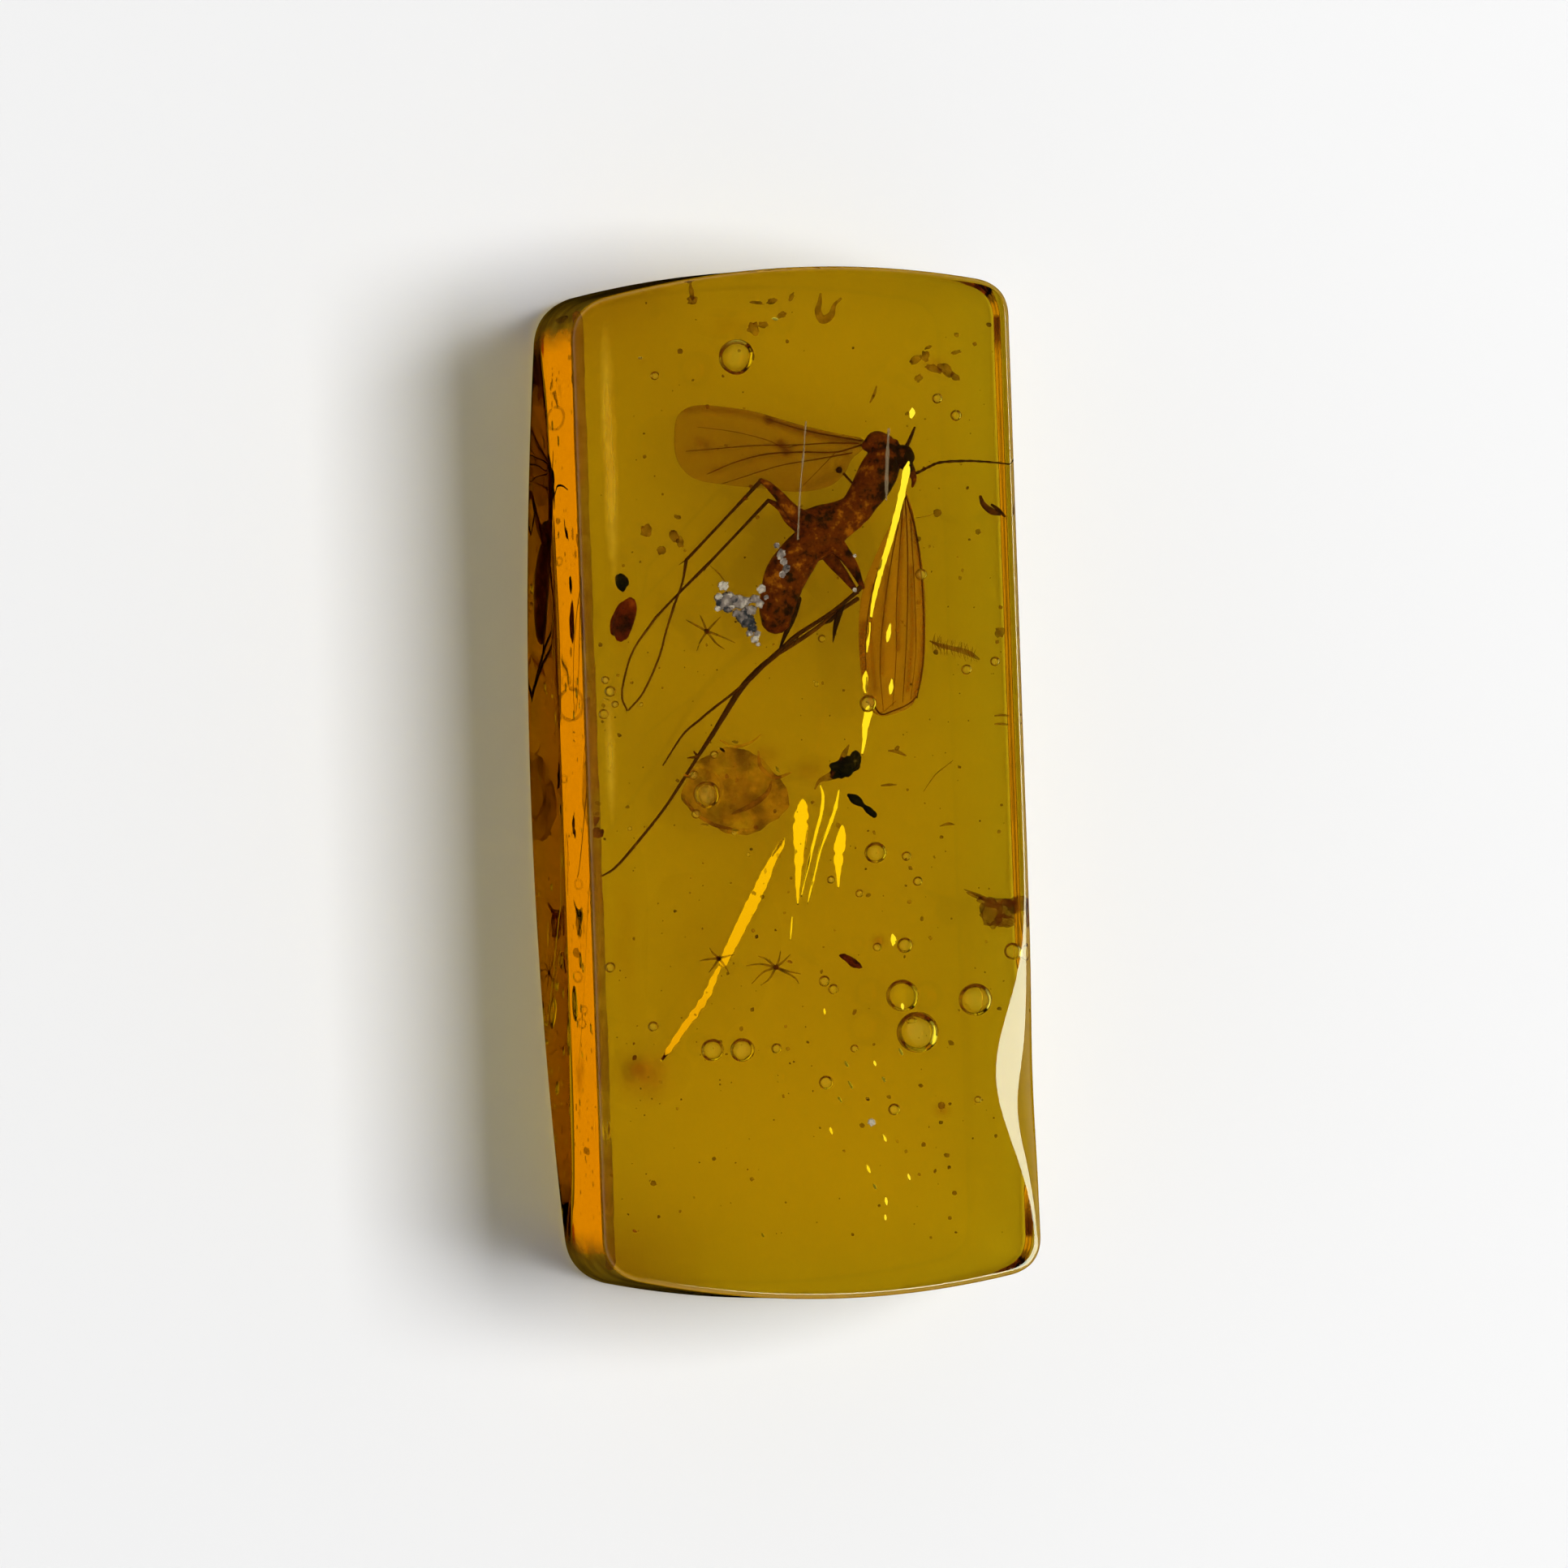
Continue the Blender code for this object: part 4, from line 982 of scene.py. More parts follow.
@dataclass
class Rim:
    """Painted light and shade behind the left wall and its corners, painted shade under its upper edge, painted
    bubble rings on the wall, a painted golden glow along the edge, and brown clouds in the body.
    """

    view: Viewpoint
    stone: Stone
    inset: float = 0.07
    thickness: float = 0.02
    lowest: float = 0.25
    highest: float = 6.6
    levels: int = 60
    # The outline's point where the film starts at the upper end, and the outline's mirrored count
    first: int = 140
    mirrored_count: int = 95
    # Covers of the wall's painted light and shade, what its foot and its lower end add as darker painted shade, and
    # the cover of the corners' painted light
    wall_cover: float = 0.42
    foot_cover: float = 0.30
    lower_end_cover: float = 0.50
    corner_cover: float = 0.9
    # Where the wall shows in the frame, across, and how much the view flattens heights on it
    strip: tuple[float, float] = (655.0, 722.0)
    slant: float = 4.6

    def wall(self, height: float, inset: float) -> np.ndarray:
        """The left wall and its corners at a height, moved in by the inset, as rows of (x, y, z)."""
        plan = self.stone.outline(height)
        run = np.roll(plan, -1, axis=0) - np.roll(plan, 1, axis=0)
        inward = np.column_stack([-run[:, 1], run[:, 0]]) / np.linalg.norm(run, axis=1)[:, None]
        left = (plan + inward * inset)[self.first:len(plan) + self.mirrored_count - self.first]
        return np.column_stack([left, np.full(len(left), height)])

    def make_painted_wall_light(self) -> None:
        """Thin films behind the left wall and its corners, painted light and shade: orange light and brown shade on
        the wall, and yellow light at the corners. The wall's cover is more at the foot and at the lower end, which
        paints them darker, and the corners' cover fades out along the ends."""
        heights = np.linspace(self.lowest, self.highest, self.levels)
        front = np.stack([self.wall(height, self.inset) for height in heights])
        back = np.stack([self.wall(height, self.inset + self.thickness) for height in heights])
        rings = np.concatenate([front, back[:, ::-1]], axis=1)
        x, y, z = np.moveaxis(rings, -1, 0)
        foot, lower_end = 1 - np.clip((z - 2.0) / 1.4, 0, 1), np.clip((-y - 5.5) / 3.0, 0, 1)
        corner, fade = np.clip((np.abs(y) - 11.2) / 0.8, 0, 1), np.clip((-x - 1.5) / 2.5, 0, 1)
        # Painted shade: the film is denser at the wall's foot and lower end, which darkens them
        cover = self.wall_cover + self.foot_cover * foot + self.lower_end_cover * lower_end
        for name, share, finish in (("rim_painted_light_film", cover * (1 - corner), RIM_PAINTED_LIGHT_AND_SHADE),
                                    ("corner_painted_light_film", self.corner_cover * corner * fade, CORNER_PAINTED_LIGHT)):
            sheaf = Sheaf()
            sheaf.add(rings.reshape(-1, 3), [lattice(*rings.shape[:2])], share.ravel())
            sheaf.piece(name, finish.make())

    def make_shade(self) -> None:
        """Painted shade: a dark rounded band under the front face's left edge, where the rounded edge turns light
        away.
        """
        shade = Sheaf()
        line = np.linspace(-11.9, 11.9, 90)
        edge = np.column_stack([self.stone.left_at(line, 0.0) + 0.20, line,
                                np.full(90, self.stone.thickness - 0.24), np.full(90, 0.12)])
        edge[:, 3] *= 1 + 0.25 * lumps(edge[:, 1:2], 44, 3.0)
        shade.wrap(tube_rings(edge, 12, 0.8), 0.42)
        shade.piece("rim_shade", PAINTED_RIM_SHADE.make())

    def on_wall(self, across: float, down: float) -> tuple[float, float]:
        """Y and height of the place on the left wall that shows at a frame place in the strip."""
        share = (across - self.strip[0]) / (self.strip[1] - self.strip[0])
        return self.view.pinned(across, down, 3.0)[1], share * self.stone.thickness

    def make_marks(self) -> None:
        """Painted rings of bubble rims, with no bubble behind them, and dark blots behind the left wall, drawn out up
        the wall by the slant of view.
        """
        sheaf = Sheaf()
        for across, down, reach, tone in (
                (692, 513, 0.28, 0.5), (700, 868, 0.40, 0.45), (694, 838, 0.14, 0.6), (704, 845, 0.12, 0.6),
                (696, 1205, 0.13, 0.55), (700, 1262, 0.12, 0.5), (704, 1245, 0.10, 0.6), (690, 690, 0.10, 0.5),
                (702, 1090, 0.12, 0.6), (686, 960, 0.09, 0.5)):
            along, height = self.on_wall(across, down)
            turn = np.radians(np.linspace(0, 330, 28))
            ring = np.column_stack([np.zeros(28), reach * np.cos(turn), reach * np.sin(turn),
                                    np.full(28, 0.02 + 0.07 * reach)])
            rings = tube_rings(ring, 8) * np.array([0.3, 1.0, self.slant])
            rings += np.array([self.stone.left_at(along, 0.0) + 0.18, along, height])
            rings[..., 2] = np.clip(rings[..., 2], 0.4, 6.4)
            sheaf.wrap(rings, tone + 0.25)
        for across, down, reach in ((697, 398, 0.22), (695, 1175, 0.12), (690, 640, 0.08), (700, 1420, 0.10)):
            along, height = self.on_wall(across, down)
            rings = nugget_rings((0, 0, 0), (0.05, reach, 1.0), 0.0, 0.2, int(down), 2.0, 14, 20)
            rings = rings * np.array([1.0, 1.0, reach * self.slant])
            rings += np.array([self.stone.left_at(along, 0.0) + 0.22, along, height])
            sheaf.wrap(rings, 0.42)
        sheaf.piece("rim_painted_rings_and_blots", FAINT_DEBRIS_AND_PAINTED_RINGS.make())

    def add_cloud(self, sheaf: Sheaf, place: tuple[float, float, float], size: tuple[float, float], cover: float,
                  core: float = 0.5, ragged: float = 0.18, columns: int = 48) -> None:
        """Add a thin disc whose tone is cover times exp(-(distance / core)^2), distance in half sizes.

        Args:
            sheaf: takes the disc.
            place: across and down in the frame, and its depth under the front face.
            size: its width and length.
            cover: the tone in its middle.
            core: how far the tone reaches, as a share of the half size.
            ragged: how uneven its rim is.
            columns: how many corners its rim has.
        """
        centre, half = self.view.pinned(*place), np.array(size) / 2
        turn = np.linspace(0, 2 * math.pi, columns, endpoint=False)
        rim = np.column_stack([np.cos(turn), np.sin(turn)])
        loop = centre[:2] + rim * half * (1 + ragged * lumps(rim, int(place[0]), 1.6)[:, None])
        rings = plate_rings(loop, lambda plan: np.full(plan.shape[:-1], centre[2]), 0.02, 14)
        gap = np.linalg.norm((rings[..., :2] - centre[:2]) / half, axis=-1)
        tone = cover * np.exp(-(gap / core) ** 2) * (gap < 0.97)
        sheaf.wrap(rings, np.append(tone.ravel(), [cover, cover]))

    def make_glow(self) -> None:
        """Painted light: a soft golden glow under the front face, along the upper left edge, where light is bent
        through that edge.
        """
        sheaf = Sheaf()
        for across, down, wide, tall, depth, cover in ((751, 560, 0.46, 7.0, 0.5, 0.80),
                                                       (752, 930, 0.34, 4.0, 0.5, 0.36)):
            self.add_cloud(sheaf, (across, down, depth), (wide, tall), cover, core=0.55, ragged=0.0, columns=60)
        glow = sheaf.piece("edge_painted_glow_sheet", PAINTED_EDGE_GLOW.make())

    def make_brown_clouds(self) -> None:
        """Soft brown clouds in the body: thin uneven discs, whose tone fades to nothing at the rim. The two tall
        faint ones make the face darker down its left side.
        """
        sheaf = Sheaf()
        for across, down, wide, tall, depth, cover in (
                (796, 1325, 2.2, 1.8, 4.2, 0.34), (786, 1316, 0.8, 0.7, 3.4, 0.34), (770, 1150, 1.1, 7.0, 4.6, 0.10),
                (765, 760, 0.9, 5.0, 4.4, 0.06), (1083, 1160, 0.55, 0.5, 2.6, 0.40), (1002, 950, 1.6, 0.9, 3.2, 0.22),
                (940, 930, 1.3, 1.0, 2.9, 0.22), (1160, 1368, 0.6, 0.5, 3.0, 0.30), (905, 400, 2.0, 0.9, 3.8, 0.12),
                (1150, 450, 1.4, 0.8, 3.4, 0.14), (1230, 1130, 0.9, 1.0, 3.2, 0.22),
                (870, 1180, 3.4, 5.2, 5.2, 0.03)):
            self.add_cloud(sheaf, (across, down, depth), (wide, tall), cover)
        cloud_piece = sheaf.piece("body_brown_clouds", BODY_CLOUD.make())


# ---------------------------------------------------------------- the gnat

# A spot is (across, down, lift, radius): the frame place where it shows, in frame units of 1/49 mm,
# then its lift above the specimen's own layer and its radius, in millimetres.
Spot = tuple[float, float, float, float]


@dataclass
class Gnat:
    """A fungus gnat with its wings apart: body, legs, feelers and bristles; Wing makes the wings."""

    view: Viewpoint
    layer: float = SPECIMEN_DEPTH
    skin_grain: float = 0.028
    thorax: tuple[Spot, ...] = (
        (1102, 546, 0.0, 0.12), (1095, 556, 0.0, 0.34), (1086, 574, 0.0, 0.49), (1076, 594, 0.0, 0.50),
        (1064, 613, 0.0, 0.44), (1052, 629, 0.0, 0.42), (1032, 637, 0.0, 0.40), (1008, 640, 0.0, 0.36),
        (990, 640, 0.0, 0.24))
    collar: tuple[Spot, ...] = ((1092, 545, 0.05, 0.20), (1079, 543, 0.06, 0.25), (1069, 549, 0.02, 0.16))
    middle: tuple[Spot, ...] = ((1056, 644, 0.0, 0.16), (1036, 650, 0.0, 0.34), (1018, 660, 0.0, 0.44),
                                (1006, 672, 0.0, 0.40))
    abdomen: tuple[Spot, ...] = (
        (1014, 648, 0.0, 0.34), (999, 666, 0.0, 0.44), (982, 688, 0.0, 0.52), (968, 710, 0.0, 0.545),
        (961, 732, 0.0, 0.50), (957, 750, 0.0, 0.46), (956, 762, 0.0, 0.40))
    head: Spot = (1112, 562, 0.0, 0.30)
    eye: Spot = (1117, 563, 0.12, 0.19)
    face: tuple[Spot, ...] = ((1112, 566, 0.0, 0.22), (1121, 578, 0.0, 0.14), (1126, 590, 0.0, 0.08),
                              (1124, 600, 0.0, 0.04))
    thighs: tuple[tuple[Spot, ...], ...] = (
        ((994, 642, 0.12, 0.22), (975, 630, 0.14, 0.19), (960, 612, 0.14, 0.14), (946, 598, 0.14, 0.10),
         (936, 592, 0.14, 0.06)),
        ((992, 652, -0.14, 0.20), (975, 640, -0.14, 0.16), (962, 625, -0.14, 0.10), (947, 616, -0.14, 0.05)),
        ((1018, 656, 0.14, 0.24), (1034, 676, 0.16, 0.20), (1049, 697, 0.18, 0.15), (1062, 724, 0.18, 0.06)),
        ((1008, 664, -0.14, 0.22), (1026, 690, -0.14, 0.18), (1042, 710, -0.14, 0.12), (1057, 730, -0.14, 0.06)),
    )
    shanks: tuple[tuple[Spot, ...], ...] = (
        ((937, 592, 0.14, 0.055), (892, 640, 0.13, 0.036), (846, 689, 0.12, 0.040)),
        ((845, 690, 0.12, 0.048), (840, 718, 0.12, 0.028), (830, 746, 0.12, 0.030)),
        ((830, 746, 0.12, 0.036), (820, 778, 0.12, 0.026), (811, 811, 0.12, 0.027), (792, 853, 0.12, 0.026),
         (774, 875, 0.12, 0.022)),
        ((947, 617, -0.14, 0.050), (910, 656, -0.13, 0.034), (874, 694, -0.12, 0.036)),
        ((874, 694, -0.12, 0.044), (836, 732, -0.12, 0.030), (809, 760, -0.10, 0.030)),
        ((809, 760, -0.10, 0.034), (781, 801, -0.10, 0.026), (769, 839, -0.08, 0.025), (767, 860, -0.08, 0.024),
         (773, 875, -0.08, 0.022)),
        ((1060, 723, 0.18, 0.075), (1048, 735, 0.18, 0.055), (1020, 757, 0.17, 0.050), (982, 782, 0.16, 0.058),
         (964, 798, 0.16, 0.062), (946, 814, 0.16, 0.058), (926, 835, 0.16, 0.045)),
        ((926, 835, 0.16, 0.050), (900, 856, 0.16, 0.034), (878, 873, 0.16, 0.032), (860, 888, 0.16, 0.030),
         (840, 906, 0.16, 0.026), (816, 943, 0.16, 0.018)),
        ((1057, 738, -0.14, 0.060), (1030, 756, -0.12, 0.050), (1004, 776, -0.10, 0.055), (980, 792, -0.08, 0.060),
         (957, 806, -0.04, 0.062)),
        ((957, 806, -0.04, 0.070), (933, 826, 0.04, 0.072), (912, 849, 0.12, 0.078), (892, 880, 0.18, 0.072),
         (878, 903, 0.20, 0.060)),
        ((878, 903, 0.20, 0.066), (859, 932, 0.20, 0.046), (838, 965, 0.20, 0.042), (816, 998, 0.20, 0.034),
         (781, 1042, 0.19, 0.036), (757, 1069, 0.17, 0.030), (740, 1080, 0.16, 0.022)),
        ((854, 926, 0.20, 0.02), (857, 932, 0.22, 0.04), (846, 934, 0.22, 0.016)),
    )
    spurs: tuple[tuple[Spot, ...], ...] = (
        ((1041, 741, -0.04, 0.03), (1035, 754, -0.08, 0.085), (1030, 772, -0.10, 0.065), (1027, 791, -0.10, 0.012)),
        ((1030, 757, -0.06, 0.03), (1024, 764, -0.06, 0.05), (1018, 768, -0.06, 0.02)),
        ((985, 738, 0.02, 0.06), (977, 760, 0.02, 0.085), (967, 783, 0.02, 0.055), (959, 803, 0.02, 0.015)),
        ((846, 689, 0.12, 0.018), (836, 696, 0.12, 0.006)), ((874, 694, -0.12, 0.016), (868, 704, -0.12, 0.005)),
        ((984, 782, 0.16, 0.022), (976, 796, 0.18, 0.006)), ((980, 792, -0.08, 0.022), (966, 794, -0.10, 0.006)),
    )
    feelers: tuple[tuple[Spot, ...], ...] = (
        ((1122, 573, 0.02, 0.05), (1127, 583, 0.02, 0.040), (1143, 576, 0.02, 0.034), (1158, 570, 0.02, 0.034),
         (1188, 568, 0.02, 0.030), (1215, 569, 0.02, 0.026), (1244, 572, 0.02, 0.018)),
        ((1113, 556, -0.02, 0.055), (1119, 546, -0.02, 0.050), (1123, 537, -0.02, 0.045), (1127, 527, -0.02, 0.028)),
    )
    balancer: tuple[Spot, ...] = ((1060, 605, 0.0, 0.03), (1048, 593, 0.0, 0.028), (1040, 584, 0.0, 0.034))
    balancer_knob: Spot = (1034, 579, 0.0, 0.085)
    # Places that are darker (below 0) or paler (above 0) than the rest of the body, with a reach in mm; the two
    # strongest pale ones, at 1046, 655 and 1062, 651, are painted glints
    mottling_and_painted_glints: tuple[tuple[float, float, float, float], ...] = (
        (1095, 590, -0.36, 0.50), (1084, 622, -0.26, 0.32), (1066, 580, 0.20, 0.24), (1110, 560, -0.5, 0.42),
        (1074, 540, 0.10, 0.18), (1004, 628, -0.22, 0.30), (1012, 652, -0.16, 0.40), (1046, 655, 0.42, 0.14),
        (1062, 651, 0.40, 0.12), (1035, 636, 0.12, 0.22), (1055, 632, 0.16, 0.16), (978, 745, -0.30, 0.30),
        (970, 716, -0.22, 0.20), (950, 722, 0.24, 0.34), (978, 690, 0.10, 0.26), (958, 757, -0.12, 0.22),
        (940, 596, 0.05, 0.3), (968, 632, 0.12, 0.25), (1030, 690, 0.08, 0.30), (1055, 712, -0.42, 0.16),
        (1045, 680, -0.36, 0.14), (1012, 690, 0.18, 0.2), (984, 766, 0.1, 0.14))

    def laid(self, route: Iterable[Spot]) -> np.ndarray:
        """A route of spots as rows of (x, y, z, radius) in the slab."""
        return self.view.laid(route, self.layer)

    def smooth(self, route: Iterable[Spot], steps: int = 5) -> np.ndarray:
        """The same, with a smooth curve laid through the spots."""
        return smooth_route(self.laid(route), steps)

    def ball(self, spot: Spot, squash: float = 1.0, **options: Any) -> np.ndarray:
        """Rings of a ball at a spot."""
        x, y, z, radius = self.laid([spot])[0]
        return nugget_rings((x, y, z), (radius, radius * squash, radius), **options)

    def tone_at(self, points: Points) -> np.ndarray:
        """Tone over the body: 0.5, with each blotch and painted glint added as amount times exp(-(distance /
        reach)^2), and faint dark rings across the abdomen, where its segments meet."""
        tone = np.full(len(points), 0.46)
        for across, down, amount, reach in self.mottling_and_painted_glints:
            centre = self.view.pinned(across, down, self.layer)
            tone += amount * np.exp(-((points[:, :2] - centre[:2]) ** 2).sum(axis=1) / reach ** 2)
        line = self.smooth(self.abdomen, 8)
        run = line[-1, :2] - line[0, :2]
        along = (points[:, :2] - line[0, :2]) @ run / (run @ run)
        on_abdomen = nearness(points, line, 0.6) * (along > 0.12)
        return tone - 0.16 * on_abdomen * np.exp(-((np.mod(along * 6, 1.0) - 0.5) / 0.12) ** 2)

    def make_body(self) -> None:
        """Thorax, abdomen, head and thighs under one fused skin, and the eye."""
        flat = 0.92
        shapes = [tube_rings(self.smooth(self.thorax), 28, flat), tube_rings(self.smooth(self.collar), 20),
                  tube_rings(self.smooth(self.middle), 24, flat), tube_rings(self.smooth(self.abdomen), 30, flat),
                  tube_rings(self.smooth(self.face), 16), self.ball(self.head, uneven=0.04, seed=4)]
        shapes += [tube_rings(self.smooth(thigh), 18) for thigh in self.thighs]
        points, faces = fused(shapes, self.skin_grain)
        points[:, 2] += 0.02 * lumps(points, 7, 0.42)
        sheaf = Sheaf()
        sheaf.add(points, [faces], np.clip(self.tone_at(points), 0, 1))
        body = sheaf.piece("gnat_body", CHITIN.make())
        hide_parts("fungus_gnat")
        eye = Sheaf()
        eye.wrap(self.ball(self.eye, 1.25, uneven=0.02, seed=5), 0.06)
        eye.piece("gnat_eye", SHANK.make())

    def make_limbs(self) -> None:
        """Shanks and feet, spurs, feelers and the balancer, each a tapered tube."""
        sheaf = Sheaf()
        for number, route in enumerate(self.shanks):
            rings = tube_rings(smooth_route(self.laid(route), 8), 12)
            sheaf.wrap(rings, 0.42 + 0.12 * (number % 3))
        for route in self.spurs:
            sheaf.wrap(tube_rings(smooth_route(self.laid(route), 6), 12, 0.6), 0.16)
        for route in self.feelers:
            line = smooth_route(self.laid(route), 10)
            beads = 1 + 0.16 * np.cos(np.linspace(0, 28 * math.pi, len(line)))
            line[:, 3] *= beads
            sheaf.wrap(tube_rings(line, 10), 0.30)
        sheaf.wrap(tube_rings(smooth_route(self.laid(self.balancer), 5), 10), 0.3)
        sheaf.wrap(self.ball(self.balancer_knob, uneven=0.06, seed=8), 0.15)
        self.add_bristles(sheaf)
        sheaf.piece("gnat_limbs", SHANK.make())

    def add_bristles(self, sheaf: Sheaf) -> None:
        """Short stiff hairs along the shanks: thin cones, each leaning to the tip and to one side."""
        chance = np.random.default_rng(12)
        for route in self.shanks[:11]:
            line = smooth_route(self.laid(route), 14)
            run = np.gradient(line[:, :3], axis=0)
            run /= np.linalg.norm(run, axis=1)[:, None]
            for place, along in zip(line[2::3], run[2::3]):
                lean = chance.normal(size=3)
                lean -= lean @ along * along
                way = along * 0.8 + lean / np.linalg.norm(lean) * 0.7
                tip = place[:3] + way * chance.uniform(0.05, 0.10)
                hair = np.vstack([place[:3], (place[:3] + tip) / 2 + way * 0.004, tip])
                sheaf.wrap(tube_rings(np.column_stack([hair, [0.006, 0.004, 0.002]]), 4), 0.3)


@dataclass
class Wing:
    """One wing: a thin skin inside an outline, and its veins. Outline and veins are frame places."""

    name: str
    view: Viewpoint
    outline: tuple[tuple[float, float], ...]
    veins: tuple[tuple[float, tuple[tuple[float, float], ...]], ...]
    bands: tuple[tuple[float, float, tuple[tuple[float, float], ...]], ...]
    lift: float
    cover: float
    pleat: float
    skin: Membrane
    layer: float = SPECIMEN_DEPTH
    thickness: float = 0.016

    def plan(self, places: Iterable[Sequence[float]]) -> np.ndarray:
        """Frame places as rows of (x, y) in the wing's layer."""
        rows = np.array(list(places), dtype=float)
        return self.view.pinned(rows[:, 0], rows[:, 1], np.full(len(rows), self.layer))[:, :2]

    def height(self, plan: np.ndarray) -> np.ndarray:
        """Height of the skin: the layer, with soft pleats along the wing and a slight sag."""
        middle = self.plan(self.outline)
        centre = middle.mean(axis=0)
        spread = middle - centre
        _, turn = np.linalg.eigh(spread.T @ spread)
        offset = (plan - centre) @ turn
        reach = np.abs(spread @ turn).max(axis=0)
        fold = np.sin(offset[..., 0] / reach[0] * 9.0 + 0.8 * offset[..., 1] / reach[1])
        sag = 0.05 * (offset[..., 1] / reach[1]) ** 2
        return self.view.face_height - self.layer + self.lift + self.pleat * fold - sag

    def make(self) -> None:
        """The skin, whose tone is its cover plus each band's nearness, and the veins as thin tubes."""
        loop = closed_loop(self.plan(self.outline), 10)
        rings = plate_rings(loop, self.height, self.thickness, 34)
        points, faces = closed_rings(rings)
        tone = np.full(len(points), self.cover)
        for amount, reach, line in self.bands:
            tone += amount * nearness(points, self.plan(line), reach)
        skin = Sheaf()
        skin.add(points, faces, np.clip(tone, 0, 1))
        skin.piece(self.name + "_skin", self.skin.make())
        lines = Sheaf()
        for radius, line in self.veins:
            route = smooth_route(self.plan(line), 10)
            taper = radius * np.linspace(1.1, 0.6, len(route))
            lines.wrap(tube_rings(np.column_stack([route, self.height(route), taper]), 8), 0.45)
        lines.piece(self.name + "_veins", SHANK.make())


def wings(view: Viewpoint) -> list[Wing]:
    """The two wings: one raised and pale, one hanging, darker and pleated along its length."""
    raised = Wing(
        "raised_wing", view,
        outline=((1064, 541), (1043, 536), (1015, 530), (985, 523), (958, 515), (930, 507), (900, 502), (866, 499),
                 (846, 503), (834, 515), (831, 540), (833, 562), (843, 580), (862, 592), (900, 598), (940, 602),
                 (985, 606), (1020, 600), (1040, 585), (1050, 566), (1064, 553)),
        veins=((0.020, ((1062, 548), (1030, 557), (985, 557), (942, 560), (905, 570), (872, 584))),
               (0.016, ((1058, 546), (1020, 546), (985, 548), (930, 549), (880, 553), (846, 556))),
               (0.016, ((1050, 558), (1005, 566), (960, 574), (915, 588), (890, 596))),
               (0.020, ((1062, 543), (1020, 536), (980, 527), (945, 516))),
               (0.010, ((985, 548), (966, 551), (945, 542), (905, 532), (860, 526))),
               (0.010, ((1030, 557), (1008, 580), (990, 598)))),
        bands=((0.52, 0.13, ((1062, 546), (1015, 537), (975, 526), (948, 517))),
               (0.32, 0.11, ((948, 517), (915, 508), (866, 503), (842, 506))),
               (0.60, 0.12, ((962, 547), (969, 556))), (0.26, 0.14, ((864, 545), (870, 548))),
               (0.16, 0.10, ((1040, 557), (985, 558), (942, 561), (880, 580))),
               (0.10, 0.10, ((985, 549), (930, 550), (850, 555))),
               (0.16, 0.12, ((1046, 562), (1030, 585), (985, 603))),
               (0.10, 0.06, ((832, 520), (830, 560)))),
        lift=-0.04, cover=0.19, pleat=0.006,
        skin=Membrane("raised_wing_membrane", thin=(0.40, 0.10, 0.008), thick=(0.16, 0.032, 0.003)))
    hanging = Wing(
        "hanging_wing", view,
        outline=((1115, 606), (1124, 628), (1130, 660), (1135, 690), (1139, 730), (1140, 770), (1139, 810),
                 (1134, 845), (1124, 868), (1106, 878), (1084, 882), (1070, 870), (1062, 845), (1058, 800),
                 (1058, 760), (1064, 720), (1076, 690), (1090, 660), (1102, 635)),
        veins=((0.022, ((1116, 610), (1127, 650), (1134, 700), (1138, 760), (1137, 815), (1130, 860))),
               (0.016, ((1115, 612), (1118, 670), (1118, 740), (1116, 800), (1112, 865))),
               (0.014, ((1113, 616), (1108, 680), (1104, 750), (1104, 810), (1100, 870))),
               (0.014, ((1112, 620), (1098, 690), (1088, 760), (1084, 820), (1088, 875))),
               (0.016, ((1110, 626), (1090, 680), (1074, 730), (1066, 790), (1068, 850))),
               (0.024, ((1063, 862), (1074, 866), (1085, 880), (1100, 876), (1118, 868), (1130, 858))),
               (0.012, ((1122, 640), (1126, 720), (1128, 800), (1122, 862)))),
        bands=((0.40, 0.10, ((1122, 625), (1134, 690), (1139, 760), (1137, 820), (1126, 866))),
               (0.42, 0.12, ((1064, 770), (1061, 800), (1066, 832))),
               (0.30, 0.07, ((1112, 640), (1108, 720), (1106, 800))),
               (0.26, 0.07, ((1094, 700), (1088, 760), (1086, 830))),
               (0.30, 0.07, ((1122, 700), (1124, 780), (1118, 850))),
               (0.26, 0.06, ((1074, 720), (1072, 780), (1078, 850)))),
        lift=0.06, cover=0.42, pleat=0.03,
        skin=Membrane("hanging_wing_membrane", thin=(0.98, 0.40, 0.015), thick=(0.30, 0.070, 0.004)))
    return [raised, hanging]
